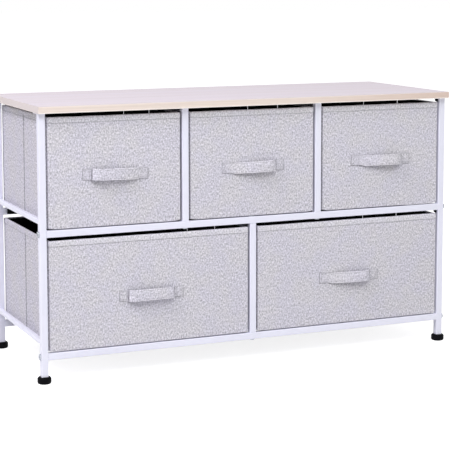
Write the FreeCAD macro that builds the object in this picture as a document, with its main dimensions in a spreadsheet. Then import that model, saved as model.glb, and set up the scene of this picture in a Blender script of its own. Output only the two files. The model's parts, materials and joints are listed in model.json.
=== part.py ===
"""Fabric drawer dresser: a bolted frame of white square steel tube under a wood board, with five
folding fabric drawers, three narrow ones over two wide ones.

Frame of the part: +X to the right, +Y to the rear, +Z up, millimetres.
The origin is on the floor, under the middle of the board.
"""

import FreeCAD, Part
import os

import Sketcher

Vector = FreeCAD.Vector
Rotation = FreeCAD.Rotation

doc = FreeCAD.newDocument("fabric_drawer_dresser")

# ---------------------------------------------------------------------------
# Driving dimensions
# ---------------------------------------------------------------------------

sizes = doc.addObject("Spreadsheet::Sheet", "sizes")

DRIVING_SIZES = {
    "Board": {
        "board_length": 995,
        "board_depth": 385,
        "board_thickness": 15,
        "overall_height": 595,
        "board_end_overhang": 3,
        "board_front_overhang": 12.5,
    },
    "Steel tube": {
        "tube_width": 15,
        "tube_wall": 1.2,
        "tube_corner": 1.5,
        "side_rail_width": 10,
    },
    "Levels, from the floor": {
        "bottom_rail_underside": 50.5,
        "middle_rail_underside": 315,
        "lower_guide_rise": 19,
        "upper_guide_rise": 14,
    },
    "Floor cups": {
        "cup_diameter": 30,
        "cup_height": 15,
        "cup_floor": 5,
        "cup_top_chamfer": 3,
        "cup_bottom_round": 4,
        "cup_play": 0.2,
    },
    "Bolts and plugs": {
        "bolt_diameter": 6,
        "bolt_reach": 18,
        "bolt_hole_play": 0.4,
        "bolt_thread_play": 0.05,
        "bolt_head_diameter": 13,
        "bolt_head_height": 3,
        "low_bolt_head_height": 1.8,
        "bolt_socket_radius": 2.9,
        "bolt_socket_depth": 1.2,
        "plug_length": 20,
        "plug_play": 0.1,
    },
    "Board tabs and screws": {
        "tab_length": 25,
        "tab_thickness": 2.5,
        "screw_diameter": 4,
        "screw_grip": 10,
        "screw_hole_play": 0.3,
        "screw_thread_play": 0.05,
        "screw_head_diameter": 8,
        "screw_head_height": 2,
    },
    "Drawers": {
        "drawer_side_gap": 4.5,
        "drawer_setback": 2,
        "drawer_rear_gap": 3,
        "drawer_lift": 2.2,
        "upper_drawer_headroom": 9,
        "lower_drawer_headroom": 7.5,
        "cover_thickness": 1.5,
        "cover_corner": 3,
        "lining_thickness": 1,
        "front_board_thickness": 5,
        "wall_board_thickness": 2,
        "side_fold_gap": 3,
        "base_board_thickness": 3,
        "base_board_play": 1,
    },
    "Handles": {
        "handle_length": 149,
        "handle_free_span": 106,
        "handle_height": 26,
        "handle_thickness": 1.6,
        "handle_bulge": 12.9,
        "upper_handle_drop": 6.5,
        "lower_handle_drop": 9,
    },
}

row = 1
for group, group_sizes in DRIVING_SIZES.items():
    sizes.set(f"A{row}", group)
    row += 1
    for alias, value in group_sizes.items():
        sizes.set(f"A{row}", alias)
        sizes.set(f"B{row}", str(value))
        sizes.setAlias(f"B{row}", alias)
        row += 1
doc.recompute()

# ---------------------------------------------------------------------------
# Places worked out from the driving dimensions, as expressions on the sheet
# ---------------------------------------------------------------------------

TUBE = "sizes.tube_width"
HALF_FRAME_LENGTH = "(sizes.board_length / 2 - sizes.board_end_overhang)"
HALF_FRAME_DEPTH = "(sizes.board_depth / 2 - sizes.board_front_overhang)"
BOARD_UNDERSIDE = "(sizes.overall_height - sizes.board_thickness)"

# centre lines of the corner posts; the front and left ones are at minus these
POST_X = f"({HALF_FRAME_LENGTH} - {TUBE} / 2)"
POST_Y = f"({HALF_FRAME_DEPTH} - {TUBE} / 2)"

# the clear length between the corner posts, shared by three bays above and two below
CLEAR_LENGTH = f"(2 * {HALF_FRAME_LENGTH} - 2 * {TUBE})"
CLEAR_DEPTH = f"(2 * {HALF_FRAME_DEPTH} - 2 * {TUBE})"
UPPER_BAY = f"(({CLEAR_LENGTH} - 2 * {TUBE}) / 3)"
LOWER_BAY = f"(({CLEAR_LENGTH} - {TUBE}) / 2)"
UPPER_DIVIDER_X = f"(({UPPER_BAY} + {TUBE}) / 2)"

BOTTOM_RAIL_TOP = f"(sizes.bottom_rail_underside + {TUBE})"
MIDDLE_RAIL_TOP = f"(sizes.middle_rail_underside + {TUBE})"
BOTTOM_RAIL_MIDDLE = f"(sizes.bottom_rail_underside + {TUBE} / 2)"
MIDDLE_RAIL_MIDDLE = f"(sizes.middle_rail_underside + {TUBE} / 2)"
LOWER_GUIDE_MIDDLE = f"({BOTTOM_RAIL_TOP} + sizes.lower_guide_rise + sizes.side_rail_width / 2)"
UPPER_GUIDE_MIDDLE = f"({MIDDLE_RAIL_TOP} + sizes.upper_guide_rise + sizes.side_rail_width / 2)"
SIDE_RAIL_X = f"({HALF_FRAME_LENGTH} - sizes.side_rail_width / 2)"

TAB_UNDERSIDE = f"({BOARD_UNDERSIDE} - sizes.tab_thickness)"
TAB_Y = f"({POST_Y} - {TUBE} / 2 - sizes.tab_length / 2)"

UPPER_DRAWER_WIDTH = f"({UPPER_BAY} - 2 * sizes.drawer_side_gap)"
LOWER_DRAWER_WIDTH = f"({LOWER_BAY} - 2 * sizes.drawer_side_gap)"
UPPER_DRAWER_FLOOR = f"({MIDDLE_RAIL_TOP} + sizes.drawer_lift)"
LOWER_DRAWER_FLOOR = f"({BOTTOM_RAIL_TOP} + sizes.drawer_lift)"
UPPER_DRAWER_HEIGHT = f"({BOARD_UNDERSIDE} - sizes.upper_drawer_headroom - {UPPER_DRAWER_FLOOR})"
LOWER_DRAWER_HEIGHT = (
    f"(sizes.middle_rail_underside - sizes.lower_drawer_headroom - {LOWER_DRAWER_FLOOR})"
)
DRAWER_FRONT_Y = f"(-{HALF_FRAME_DEPTH} + sizes.drawer_setback)"
DRAWER_DEPTH = f"(2 * {HALF_FRAME_DEPTH} - sizes.drawer_setback - sizes.drawer_rear_gap)"

# ---------------------------------------------------------------------------
# Helpers: every size and place is bound to the sheet by an expression
# ---------------------------------------------------------------------------

parts = []


def bind(thing, **expressions):
    """Binds properties of a document object, such as Length="sizes.tube_width"."""
    for name, expression in expressions.items():
        thing.setExpression(name, expression)
    return thing


def place(thing, x="0", y="0", z="0", rotation=None):
    """Puts a document object at a bound place, turned by a fixed rotation."""
    if rotation is not None:
        thing.Placement = FreeCAD.Placement(Vector(0, 0, 0), rotation)
    for axis, expression in zip("xyz", (x, y, z)):
        thing.setExpression(f"Placement.Base.{axis}", expression)
    return thing


def keep(thing):
    """Marks a document object as a sub-part, whose Label names its file."""
    parts.append(thing)
    return thing


def block(name, length, width, height, x, y, z):
    """A box whose middle is at x, y and whose underside is at z."""
    box = bind(doc.addObject("Part::Box", name), Length=length, Width=width, Height=height)
    return place(box, f"{x} - ({length}) / 2", f"{y} - ({width}) / 2", z)


def compound(name, pieces):
    """One node made of separate solids."""
    group = doc.addObject("Part::Compound", name)
    group.Links = pieces
    return group


def mirrored(source, normal):
    """A copy of source on the other side of the middle plane across normal."""
    mirror = doc.addObject("Part::Mirroring", f"{source.Name}_mirror")
    mirror.Source = source
    mirror.Normal = normal
    return mirror


def at_front_and_rear(name, source):
    """A piece made for the front, with its rear copy."""
    return compound(name, [source, mirrored(source, Vector(0, 1, 0))])


def at_four_corners(name, source):
    """A piece made for the front left, with its three mirrored copies."""
    front = [source, mirrored(source, Vector(1, 0, 0))]
    rear = [mirrored(piece, Vector(0, 1, 0)) for piece in front]
    return compound(name, front + rear)


def upright_edges(feature):
    """Names of the edges of a feature that stand along Z."""
    doc.recompute()
    names = []
    for number, edge in enumerate(feature.Shape.Edges, start=1):
        ends = [vertex.Point for vertex in edge.Vertexes]
        if len(ends) == 2 and (ends[1] - ends[0]).cross(Vector(0, 0, 1)).Length < 1e-6:
            names.append(f"Edge{number}")
    return names


def level_edges(feature, height):
    """Names of the edges of a feature that lie level at a height of its own body."""
    doc.recompute()
    names = []
    for number, edge in enumerate(feature.Shape.Edges, start=1):
        box = edge.BoundBox
        if abs(box.ZMin - height) < 1e-6 and abs(box.ZMax - height) < 1e-6:
            names.append(f"Edge{number}")
    return names


# ---------------------------------------------------------------------------
# Steel tube: posts, rails and dividers
# ---------------------------------------------------------------------------

# a tube is drawn standing on its body's origin, then turned to run along an axis
ALONG = {
    "x": Rotation(Vector(0, 1, 0), 90),
    "y": Rotation(Vector(1, 0, 0), -90),
    "z": Rotation(),
}
ACROSS = Rotation(Vector(0, 1, 0), 90)


def tube(name, run, length, x, y, z, width=TUBE, holes=()):
    """A square tube that starts at x, y, z on its centre line; holes are distances along it."""
    body = doc.addObject("PartDesign::Body", name)
    outside = body.newObject("PartDesign::AdditiveBox", f"{name}_outside")
    bind(outside, Length=width, Width=width, Height=length)
    place(outside, f"-({width}) / 2", f"-({width}) / 2")

    corners = body.newObject("PartDesign::Fillet", f"{name}_corners")
    corners.Base = (outside, upright_edges(outside))
    bind(corners, Radius="sizes.tube_corner")

    clear = f"({width} - 2 * sizes.tube_wall)"
    inside = body.newObject("PartDesign::SubtractiveBox", f"{name}_inside")
    bind(inside, Length=clear, Width=clear, Height=length)
    place(inside, f"-{clear} / 2", f"-{clear} / 2")

    for number, distance in enumerate(holes, start=1):
        hole = body.newObject("PartDesign::SubtractiveCylinder", f"{name}_hole_{number}")
        bind(hole, Radius="sizes.bolt_diameter / 2 + sizes.bolt_hole_play / 2", Height=f"2 * {width}")
        place(hole, f"-({width})", "0", distance, ACROSS)

    return keep(place(body, x, y, z, ALONG[run]))


SIDES = {"left": "-1", "right": "1"}
ENDS = {"front": "-1", "rear": "1"}

for end, end_sign in ENDS.items():
    for side, side_sign in SIDES.items():
        tube(
            f"{end}_{side}_post",
            "z",
            f"{BOARD_UNDERSIDE} - sizes.cup_floor",
            f"{side_sign} * {POST_X}",
            f"{end_sign} * {POST_Y}",
            "sizes.cup_floor",
            holes=[f"{BOTTOM_RAIL_MIDDLE} - sizes.cup_floor", f"{MIDDLE_RAIL_MIDDLE} - sizes.cup_floor"],
        )

    # the long rails butt against the inner faces of the corner posts
    rail_start = f"-{CLEAR_LENGTH} / 2"
    tube(
        f"{end}_bottom_rail",
        "x",
        CLEAR_LENGTH,
        rail_start,
        f"{end_sign} * {POST_Y}",
        BOTTOM_RAIL_MIDDLE,
        holes=[f"{CLEAR_LENGTH} / 2"],
    )
    tube(
        f"{end}_middle_rail",
        "x",
        CLEAR_LENGTH,
        rail_start,
        f"{end_sign} * {POST_Y}",
        MIDDLE_RAIL_MIDDLE,
        holes=[
            f"{CLEAR_LENGTH} / 2 - {UPPER_DIVIDER_X}",
            f"{CLEAR_LENGTH} / 2",
            f"{CLEAR_LENGTH} / 2 + {UPPER_DIVIDER_X}",
        ],
    )

    # dividers stand on the rails, in line with the posts
    tube(
        f"{end}_lower_divider",
        "z",
        f"sizes.middle_rail_underside - {BOTTOM_RAIL_TOP}",
        "0",
        f"{end_sign} * {POST_Y}",
        BOTTOM_RAIL_TOP,
    )
    for side, side_sign in SIDES.items():
        tube(
            f"{end}_upper_{side}_divider",
            "z",
            f"{BOARD_UNDERSIDE} - {MIDDLE_RAIL_TOP}",
            f"{side_sign} * {UPPER_DIVIDER_X}",
            f"{end_sign} * {POST_Y}",
            MIDDLE_RAIL_TOP,
        )

# side rails and guide rails run front to back and keep the drawers from slipping sideways
GUIDES = {
    "left_bottom_side_rail": (f"-{SIDE_RAIL_X}", LOWER_GUIDE_MIDDLE),
    "left_middle_side_rail": (f"-{SIDE_RAIL_X}", UPPER_GUIDE_MIDDLE),
    "right_bottom_side_rail": (SIDE_RAIL_X, LOWER_GUIDE_MIDDLE),
    "right_middle_side_rail": (SIDE_RAIL_X, UPPER_GUIDE_MIDDLE),
    "lower_guide_rail": ("0", LOWER_GUIDE_MIDDLE),
    "upper_left_guide_rail": (f"-{UPPER_DIVIDER_X}", UPPER_GUIDE_MIDDLE),
    "upper_right_guide_rail": (UPPER_DIVIDER_X, UPPER_GUIDE_MIDDLE),
}
for name, (guide_x, guide_z) in GUIDES.items():
    tube(name, "y", CLEAR_DEPTH, guide_x, f"-{CLEAR_DEPTH} / 2", guide_z, width="sizes.side_rail_width")

# ---------------------------------------------------------------------------
# Floor cups
# ---------------------------------------------------------------------------

cup = doc.addObject("PartDesign::Body", "floor_cup")
cup_solid = cup.newObject("PartDesign::AdditiveCylinder", "cup_solid")
bind(cup_solid, Radius="sizes.cup_diameter / 2", Height="sizes.cup_height")

cup_chamfer = cup.newObject("PartDesign::Chamfer", "cup_chamfer")
cup_chamfer.Base = (cup_solid, level_edges(cup_solid, float(sizes.cup_height)))
bind(cup_chamfer, Size="sizes.cup_top_chamfer")

cup_round = cup.newObject("PartDesign::Fillet", "cup_round")
cup_round.Base = (cup_chamfer, level_edges(cup_chamfer, 0))
bind(cup_round, Radius="sizes.cup_bottom_round")

CUP_POCKET = f"({TUBE} + 2 * sizes.cup_play)"
cup_pocket = cup.newObject("PartDesign::SubtractiveBox", "cup_pocket")
bind(cup_pocket, Length=CUP_POCKET, Width=CUP_POCKET, Height="sizes.cup_height")
place(cup_pocket, f"-{CUP_POCKET} / 2", f"-{CUP_POCKET} / 2", "sizes.cup_floor")

place(cup, f"-{POST_X}", f"-{POST_Y}")
keep(at_four_corners("floor_cups", cup))

# ---------------------------------------------------------------------------
# Threaded plugs in the tube ends, and the bolts that run into them
# ---------------------------------------------------------------------------


def plug(name, x, y, z, rotation):
    """A plug that starts at x, y, z in a tube's mouth and reaches into the tube."""
    side = f"({TUBE} - 2 * sizes.tube_wall - 2 * sizes.plug_play)"
    body = doc.addObject("PartDesign::Body", name)
    solid = body.newObject("PartDesign::AdditiveBox", f"{name}_solid")
    bind(solid, Length=side, Width=side, Height="sizes.plug_length")
    place(solid, f"-{side} / 2", f"-{side} / 2")
    bore = body.newObject("PartDesign::SubtractiveCylinder", f"{name}_bore")
    bind(bore, Radius="sizes.bolt_diameter / 2 + sizes.bolt_thread_play", Height="sizes.plug_length")
    return place(body, x, y, z, rotation)


def bolt(name, x, y, z, rotation, head_height="sizes.bolt_head_height"):
    """A socket bolt whose head bears at x, y, z and whose shank runs on from there."""
    body = doc.addObject("PartDesign::Body", name)
    head = body.newObject("PartDesign::AdditiveCylinder", f"{name}_head")
    bind(head, Radius="sizes.bolt_head_diameter / 2", Height=head_height)
    place(head, z=f"-{head_height}")
    shank = body.newObject("PartDesign::AdditiveCylinder", f"{name}_shank")
    bind(shank, Radius="sizes.bolt_diameter / 2", Height=f"{TUBE} + sizes.bolt_reach")
    socket = body.newObject("PartDesign::SubtractivePrism", f"{name}_socket")
    bind(socket, Circumradius="sizes.bolt_socket_radius", Height="sizes.bolt_socket_depth")
    place(socket, z=f"-{head_height}")
    return place(body, x, y, z, rotation)


TO_RIGHT = Rotation(Vector(0, 1, 0), 90)
UPWARD = Rotation()
DOWNWARD = Rotation(Vector(1, 0, 0), 180)
RAIL_MIDDLES = {"bottom": BOTTOM_RAIL_MIDDLE, "middle": MIDDLE_RAIL_MIDDLE}

rail_plugs = []
frame_bolts = []
for level, height in RAIL_MIDDLES.items():
    left_plug = plug(f"{level}_rail_plug", f"-{CLEAR_LENGTH} / 2", f"-{POST_Y}", height, TO_RIGHT)
    left_bolt = bolt(f"{level}_frame_bolt", f"-{HALF_FRAME_LENGTH}", f"-{POST_Y}", height, TO_RIGHT)
    rail_plugs += at_four_corners(f"{level}_rail_plugs", left_plug).Links
    frame_bolts += at_four_corners(f"{level}_frame_bolts", left_bolt).Links
keep(compound("rail_plugs", rail_plugs))
keep(compound("frame_bolts", frame_bolts))

# an upper divider is bolted from under the middle rail; a lower one from above it and from below
upper_plug = plug("upper_divider_plug", f"-{UPPER_DIVIDER_X}", f"-{POST_Y}", MIDDLE_RAIL_TOP, UPWARD)
lower_top_plug = plug("lower_top_plug", "0", f"-{POST_Y}", "sizes.middle_rail_underside", DOWNWARD)
lower_foot_plug = plug("lower_foot_plug", "0", f"-{POST_Y}", BOTTOM_RAIL_TOP, UPWARD)
keep(
    compound(
        "divider_plugs",
        at_four_corners("upper_divider_plugs", upper_plug).Links
        + at_front_and_rear("lower_top_plugs", lower_top_plug).Links
        + at_front_and_rear("lower_foot_plugs", lower_foot_plug).Links,
    )
)

# their heads are low, because a drawer slides over the one on top of the middle rail
LOW_HEAD = "sizes.low_bolt_head_height"
MIDDLE_RAIL_FOOT, BOTTOM_RAIL_FOOT = "sizes.middle_rail_underside", "sizes.bottom_rail_underside"
upper_bolt = bolt(
    "upper_divider_bolt", f"-{UPPER_DIVIDER_X}", f"-{POST_Y}", MIDDLE_RAIL_FOOT, UPWARD, LOW_HEAD
)
lower_top_bolt = bolt("lower_top_bolt", "0", f"-{POST_Y}", MIDDLE_RAIL_TOP, DOWNWARD, LOW_HEAD)
lower_foot_bolt = bolt("lower_foot_bolt", "0", f"-{POST_Y}", BOTTOM_RAIL_FOOT, UPWARD, LOW_HEAD)
keep(
    compound(
        "divider_bolts",
        at_four_corners("upper_divider_bolts", upper_bolt).Links
        + at_front_and_rear("lower_top_bolts", lower_top_bolt).Links
        + at_front_and_rear("lower_foot_bolts", lower_foot_bolt).Links,
    )
)

# ---------------------------------------------------------------------------
# Board, and the tabs and screws that hold it on the posts
# ---------------------------------------------------------------------------

TAB_COLUMNS = {"corner": POST_X, "divider": UPPER_DIVIDER_X}

board = doc.addObject("PartDesign::Body", "top_board")
board_solid = board.newObject("PartDesign::AdditiveBox", "board_solid")
bind(board_solid, Length="sizes.board_length", Width="sizes.board_depth", Height="sizes.board_thickness")
place(board_solid, "-sizes.board_length / 2", "-sizes.board_depth / 2")
for column, column_x in TAB_COLUMNS.items():
    for side, side_sign in SIDES.items():
        for end, end_sign in ENDS.items():
            pilot = board.newObject("PartDesign::SubtractiveCylinder", f"pilot_{column}_{side}_{end}")
            bind(
                pilot,
                Radius="sizes.screw_diameter / 2 + sizes.screw_thread_play",
                Height="sizes.screw_grip",
            )
            place(pilot, f"{side_sign} * {column_x}", f"{end_sign} * {TAB_Y}")
keep(place(board, z=BOARD_UNDERSIDE))


def tab(name, x):
    """A flat tab welded to a front post's rear face, under the board."""
    body = doc.addObject("PartDesign::Body", name)
    plate = body.newObject("PartDesign::AdditiveBox", f"{name}_plate")
    bind(plate, Length=TUBE, Width="sizes.tab_length", Height="sizes.tab_thickness")
    place(plate, f"-{TUBE} / 2", "-sizes.tab_length / 2")
    hole = body.newObject("PartDesign::SubtractiveCylinder", f"{name}_hole")
    bind(hole, Radius="(sizes.screw_diameter + sizes.screw_hole_play) / 2", Height="sizes.tab_thickness")
    return place(body, x, f"-{TAB_Y}", TAB_UNDERSIDE)


def screw(name, x):
    """A pan head wood screw that runs up through a tab into the board."""
    body = doc.addObject("PartDesign::Body", name)
    head = body.newObject("PartDesign::AdditiveCylinder", f"{name}_head")
    bind(head, Radius="sizes.screw_head_diameter / 2", Height="sizes.screw_head_height")
    place(head, z="-sizes.screw_head_height")
    shank = body.newObject("PartDesign::AdditiveCylinder", f"{name}_shank")
    bind(shank, Radius="sizes.screw_diameter / 2", Height="sizes.tab_thickness + sizes.screw_grip")
    return place(body, x, f"-{TAB_Y}", TAB_UNDERSIDE)


board_tabs = []
board_screws = []
for column, column_x in TAB_COLUMNS.items():
    board_tabs += at_four_corners(f"{column}_tabs", tab(f"{column}_tab", f"-{column_x}")).Links
    board_screws += at_four_corners(f"{column}_screws", screw(f"{column}_screw", f"-{column_x}")).Links
keep(compound("board_tabs", board_tabs))
keep(compound("board_screws", board_screws))

# ---------------------------------------------------------------------------
# Drawers: a fabric cover and a lining, with stiff boards between them
# ---------------------------------------------------------------------------

COVER = "sizes.cover_thickness"
LINING = "sizes.lining_thickness"
WALL_BOARD = "sizes.wall_board_thickness"
FRONT_BOARD = "sizes.front_board_thickness"

# distances from the drawer's own front face, rear face and side faces
FRONT_WALL = f"({COVER} + {FRONT_BOARD} + {LINING})"
OTHER_WALL = f"({COVER} + {WALL_BOARD} + {LINING})"
HALF_SIDE_BOARD = (
    f"(({DRAWER_DEPTH} - 2 * {COVER} - {FRONT_BOARD} - {WALL_BOARD} - sizes.side_fold_gap) / 2)"
)


def shell(name, width, depth, height, x, y, z, cavity, mouth, corner=None):
    """An open fabric box: cavity and mouth are (length, width, height, y of the near side, z)."""
    body = doc.addObject("PartDesign::Body", name)
    outside = body.newObject("PartDesign::AdditiveBox", f"{name}_outside")
    bind(outside, Length=width, Width=depth, Height=height)
    place(outside, f"-({width}) / 2")
    if corner is not None:
        rounding = body.newObject("PartDesign::Fillet", f"{name}_rounding")
        rounding.Base = (outside, upright_edges(outside))
        bind(rounding, Radius=corner)
    for hollow, (length, breadth, tall, near, low) in (("cavity", cavity), ("mouth", mouth)):
        space = body.newObject("PartDesign::SubtractiveBox", f"{name}_{hollow}")
        bind(space, Length=length, Width=breadth, Height=tall)
        place(space, f"-({length}) / 2", near, low)
    return keep(place(body, x, y, z))


def handle(name, x, y, z):
    """A strap with flat sewn ends and a bowed middle, drawn in plan and padded up to its height."""
    length = float(sizes.handle_length)
    span = float(sizes.handle_free_span)
    thick = float(sizes.handle_thickness)
    bulge = float(sizes.handle_bulge)
    body = doc.addObject("PartDesign::Body", name)
    sketch = body.newObject("Sketcher::SketchObject", f"{name}_plan")
    plane = next(item for item in body.Origin.OriginFeatures if item.Role == "XY_Plane")
    sketch.AttachmentSupport = [(plane, "")]
    sketch.MapMode = "FlatFace"

    back_left = sketch.addGeometry(Part.LineSegment(Vector(-length / 2, 0, 0), Vector(-span / 2, 0, 0)))
    inner = sketch.addGeometry(
        Part.Arc(Vector(-span / 2, 0, 0), Vector(0, -bulge, 0), Vector(span / 2, 0, 0))
    )
    back_right = sketch.addGeometry(Part.LineSegment(Vector(span / 2, 0, 0), Vector(length / 2, 0, 0)))
    right_end = sketch.addGeometry(
        Part.LineSegment(Vector(length / 2, 0, 0), Vector(length / 2, -thick, 0))
    )
    face_right = sketch.addGeometry(
        Part.LineSegment(Vector(length / 2, -thick, 0), Vector(span / 2, -thick, 0))
    )
    outer = sketch.addGeometry(
        Part.Arc(
            Vector(-span / 2, -thick, 0), Vector(0, -bulge - thick, 0), Vector(span / 2, -thick, 0)
        )
    )
    face_left = sketch.addGeometry(
        Part.LineSegment(Vector(-span / 2, -thick, 0), Vector(-length / 2, -thick, 0))
    )
    left_end = sketch.addGeometry(
        Part.LineSegment(Vector(-length / 2, -thick, 0), Vector(-length / 2, 0, 0))
    )

    start, finish, centre = 1, 2, 3
    joints = [
        (back_left, finish, inner, start),
        (inner, finish, back_right, start),
        (back_right, finish, right_end, start),
        (right_end, finish, face_right, start),
        (face_right, finish, outer, finish),
        (outer, start, face_left, start),
        (face_left, finish, left_end, start),
        (left_end, finish, back_left, start),
    ]
    for joint in joints:
        sketch.addConstraint(Sketcher.Constraint("Coincident", *joint))
    for level in (back_left, back_right, face_right, face_left):
        sketch.addConstraint(Sketcher.Constraint("Horizontal", level))
    for upright in (right_end, left_end):
        sketch.addConstraint(Sketcher.Constraint("Vertical", upright))
    sketch.addConstraint(Sketcher.Constraint("Equal", right_end, left_end))
    root_point = (-1, 1)
    x_axis = -1
    y_axis = -2
    sketch.addConstraint(
        Sketcher.Constraint("Symmetric", back_left, start, back_right, finish, *root_point)
    )
    sketch.addConstraint(Sketcher.Constraint("PointOnObject", back_left, start, x_axis))
    sketch.addConstraint(Sketcher.Constraint("PointOnObject", inner, centre, y_axis))
    sketch.addConstraint(Sketcher.Constraint("Coincident", inner, centre, outer, centre))

    bow = "((sizes.handle_free_span / 2) ^ 2 + sizes.handle_bulge ^ 2) / (2 * sizes.handle_bulge)"
    dimensions = [
        (Sketcher.Constraint("DistanceX", back_left, start, back_right, finish, length),
         "sizes.handle_length"),
        (Sketcher.Constraint("DistanceX", inner, start, inner, finish, span),
         "sizes.handle_free_span"),
        (Sketcher.Constraint("DistanceY", left_end, start, left_end, finish, thick),
         "sizes.handle_thickness"),
        (Sketcher.Constraint("Radius", inner, (span * span / 4 + bulge * bulge) / (2 * bulge)),
         bow),
        (Sketcher.Constraint("Radius", outer, (span * span / 4 + bulge * bulge) / (2 * bulge) + thick),
         f"{bow} + sizes.handle_thickness"),
    ]
    for constraint, expression in dimensions:
        number = sketch.addConstraint(constraint)
        sketch.setExpression(f"Constraints[{number}]", expression)

    strap = body.newObject("PartDesign::Pad", f"{name}_strap")
    strap.Profile = sketch
    bind(strap, Length="sizes.handle_height")
    return keep(place(body, x, y, z))


def drawer(name, width, height, x, floor, handle_drop):
    """All the pieces of one drawer, whose front face is at DRAWER_FRONT_Y."""
    front = DRAWER_FRONT_Y
    rear = f"({front} + {DRAWER_DEPTH})"
    middle = f"({front} + {DRAWER_DEPTH} / 2)"
    pocket_width = f"({width} - 2 * {COVER})"
    pocket_height = f"({height} - 2 * {COVER})"
    pocket_floor = f"({floor} + {COVER})"

    # the cover folds over the top edge of the boards and lining, so its mouth is the clear inside
    mouth_width = f"({width} - 2 * {OTHER_WALL})"
    mouth_depth = f"({DRAWER_DEPTH} - {FRONT_WALL} - {OTHER_WALL})"
    shell(
        f"{name}_cover", width, DRAWER_DEPTH, height, x, front, floor,
        cavity=(pocket_width, f"({DRAWER_DEPTH} - 2 * {COVER})", pocket_height, COVER, COVER),
        mouth=(mouth_width, mouth_depth, height, FRONT_WALL, COVER),
        corner="sizes.cover_corner",
    )

    lining_width = f"({mouth_width} + 2 * {LINING})"
    lining_depth = f"({mouth_depth} + 2 * {LINING})"
    inside = (mouth_width, mouth_depth, pocket_height, LINING, LINING)
    shell(
        f"{name}_lining", lining_width, lining_depth, pocket_height,
        x, f"{front} + {COVER} + {FRONT_BOARD}", pocket_floor,
        cavity=inside,
        mouth=inside,
    )

    keep(block(
        f"{name}_front_board", pocket_width, FRONT_BOARD, pocket_height,
        x, f"({front} + {COVER} + {FRONT_BOARD} / 2)", pocket_floor,
    ))

    # a back board, and two half boards in each side with the fold between them
    boards = [block(
        f"{name}_back_board", pocket_width, WALL_BOARD, pocket_height,
        x, f"({rear} - {COVER} - {WALL_BOARD} / 2)", pocket_floor,
    )]
    board_offset = f"({width} / 2 - {COVER} - {WALL_BOARD} / 2)"
    near_middle = f"({front} + {COVER} + {FRONT_BOARD} + {HALF_SIDE_BOARD} / 2)"
    far_middle = f"({rear} - {COVER} - {WALL_BOARD} - {HALF_SIDE_BOARD} / 2)"
    for side, side_sign in SIDES.items():
        for half, half_middle in (("near", near_middle), ("far", far_middle)):
            boards.append(block(
                f"{name}_{side}_{half}_board", WALL_BOARD, HALF_SIDE_BOARD, pocket_height,
                f"({x} + {side_sign} * {board_offset})", half_middle, pocket_floor,
            ))
    keep(compound(f"{name}_wall_boards", boards))

    keep(block(
        f"{name}_base_board",
        f"({mouth_width} - 2 * sizes.base_board_play)",
        f"({mouth_depth} - 2 * sizes.base_board_play)",
        "sizes.base_board_thickness",
        x, f"({middle} + ({FRONT_WALL} - {OTHER_WALL}) / 2)", f"({pocket_floor} + {LINING})",
    ))

    handle(
        f"{name}_handle", x, front,
        f"{floor} + {height} / 2 - {handle_drop} - sizes.handle_height / 2",
    )


UPPER_PITCH = f"({UPPER_BAY} + {TUBE})"
LOWER_PITCH = f"({LOWER_BAY} + {TUBE})"
for name, upper_x in (("top_left", f"-{UPPER_PITCH}"), ("top_middle", "0"), ("top_right", UPPER_PITCH)):
    drawer(
        name, UPPER_DRAWER_WIDTH, UPPER_DRAWER_HEIGHT, upper_x, UPPER_DRAWER_FLOOR,
        "sizes.upper_handle_drop",
    )
for name, lower_x in (("bottom_left", f"-{LOWER_PITCH} / 2"), ("bottom_right", f"{LOWER_PITCH} / 2")):
    drawer(
        name, LOWER_DRAWER_WIDTH, LOWER_DRAWER_HEIGHT, lower_x, LOWER_DRAWER_FLOOR,
        "sizes.lower_handle_drop",
    )

# ---------------------------------------------------------------------------
# Checks and export
# ---------------------------------------------------------------------------

doc.recompute()

failed = [item.Name for item in doc.Objects if {"Invalid", "Error"} & set(item.State)]
if failed:
    raise RuntimeError(f"objects that did not compute: {failed}")

os.makedirs("parts", exist_ok=True)
for part in parts:
    shape = part.Shape
    if shape.isNull() or not shape.isValid():
        raise RuntimeError(f"{part.Label} has no valid shape")
    shape.exportStep(os.path.join("parts", f"{part.Label}.step"))
    print(f"{part.Label}: {len(shape.Solids)} solid(s), {shape.Volume:.1f} mm3")

whole = Part.makeCompound([part.Shape for part in parts]).optimalBoundingBox(False, False)
print(f"{len(parts)} nodes, box {whole.XLength:.1f} x {whole.YLength:.1f} x {whole.ZLength:.1f} mm")
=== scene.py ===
# %% [markdown]
# # A fabric drawer dresser
#
# A low dresser: a bolted frame of white square steel tube, a pale wood board on top, and five
# folding drawers of grey linen-look cloth with sewn strap handles, three narrow over two wide.
# The hard pieces come ready-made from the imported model. This lesson dresses them: it gives the
# steel, wood and plastic their finishes, and sews the cloth drawers over their plain solids.

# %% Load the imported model
import json
import math

import bmesh
import bpy
from mathutils import Matrix, Vector, noise


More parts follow.
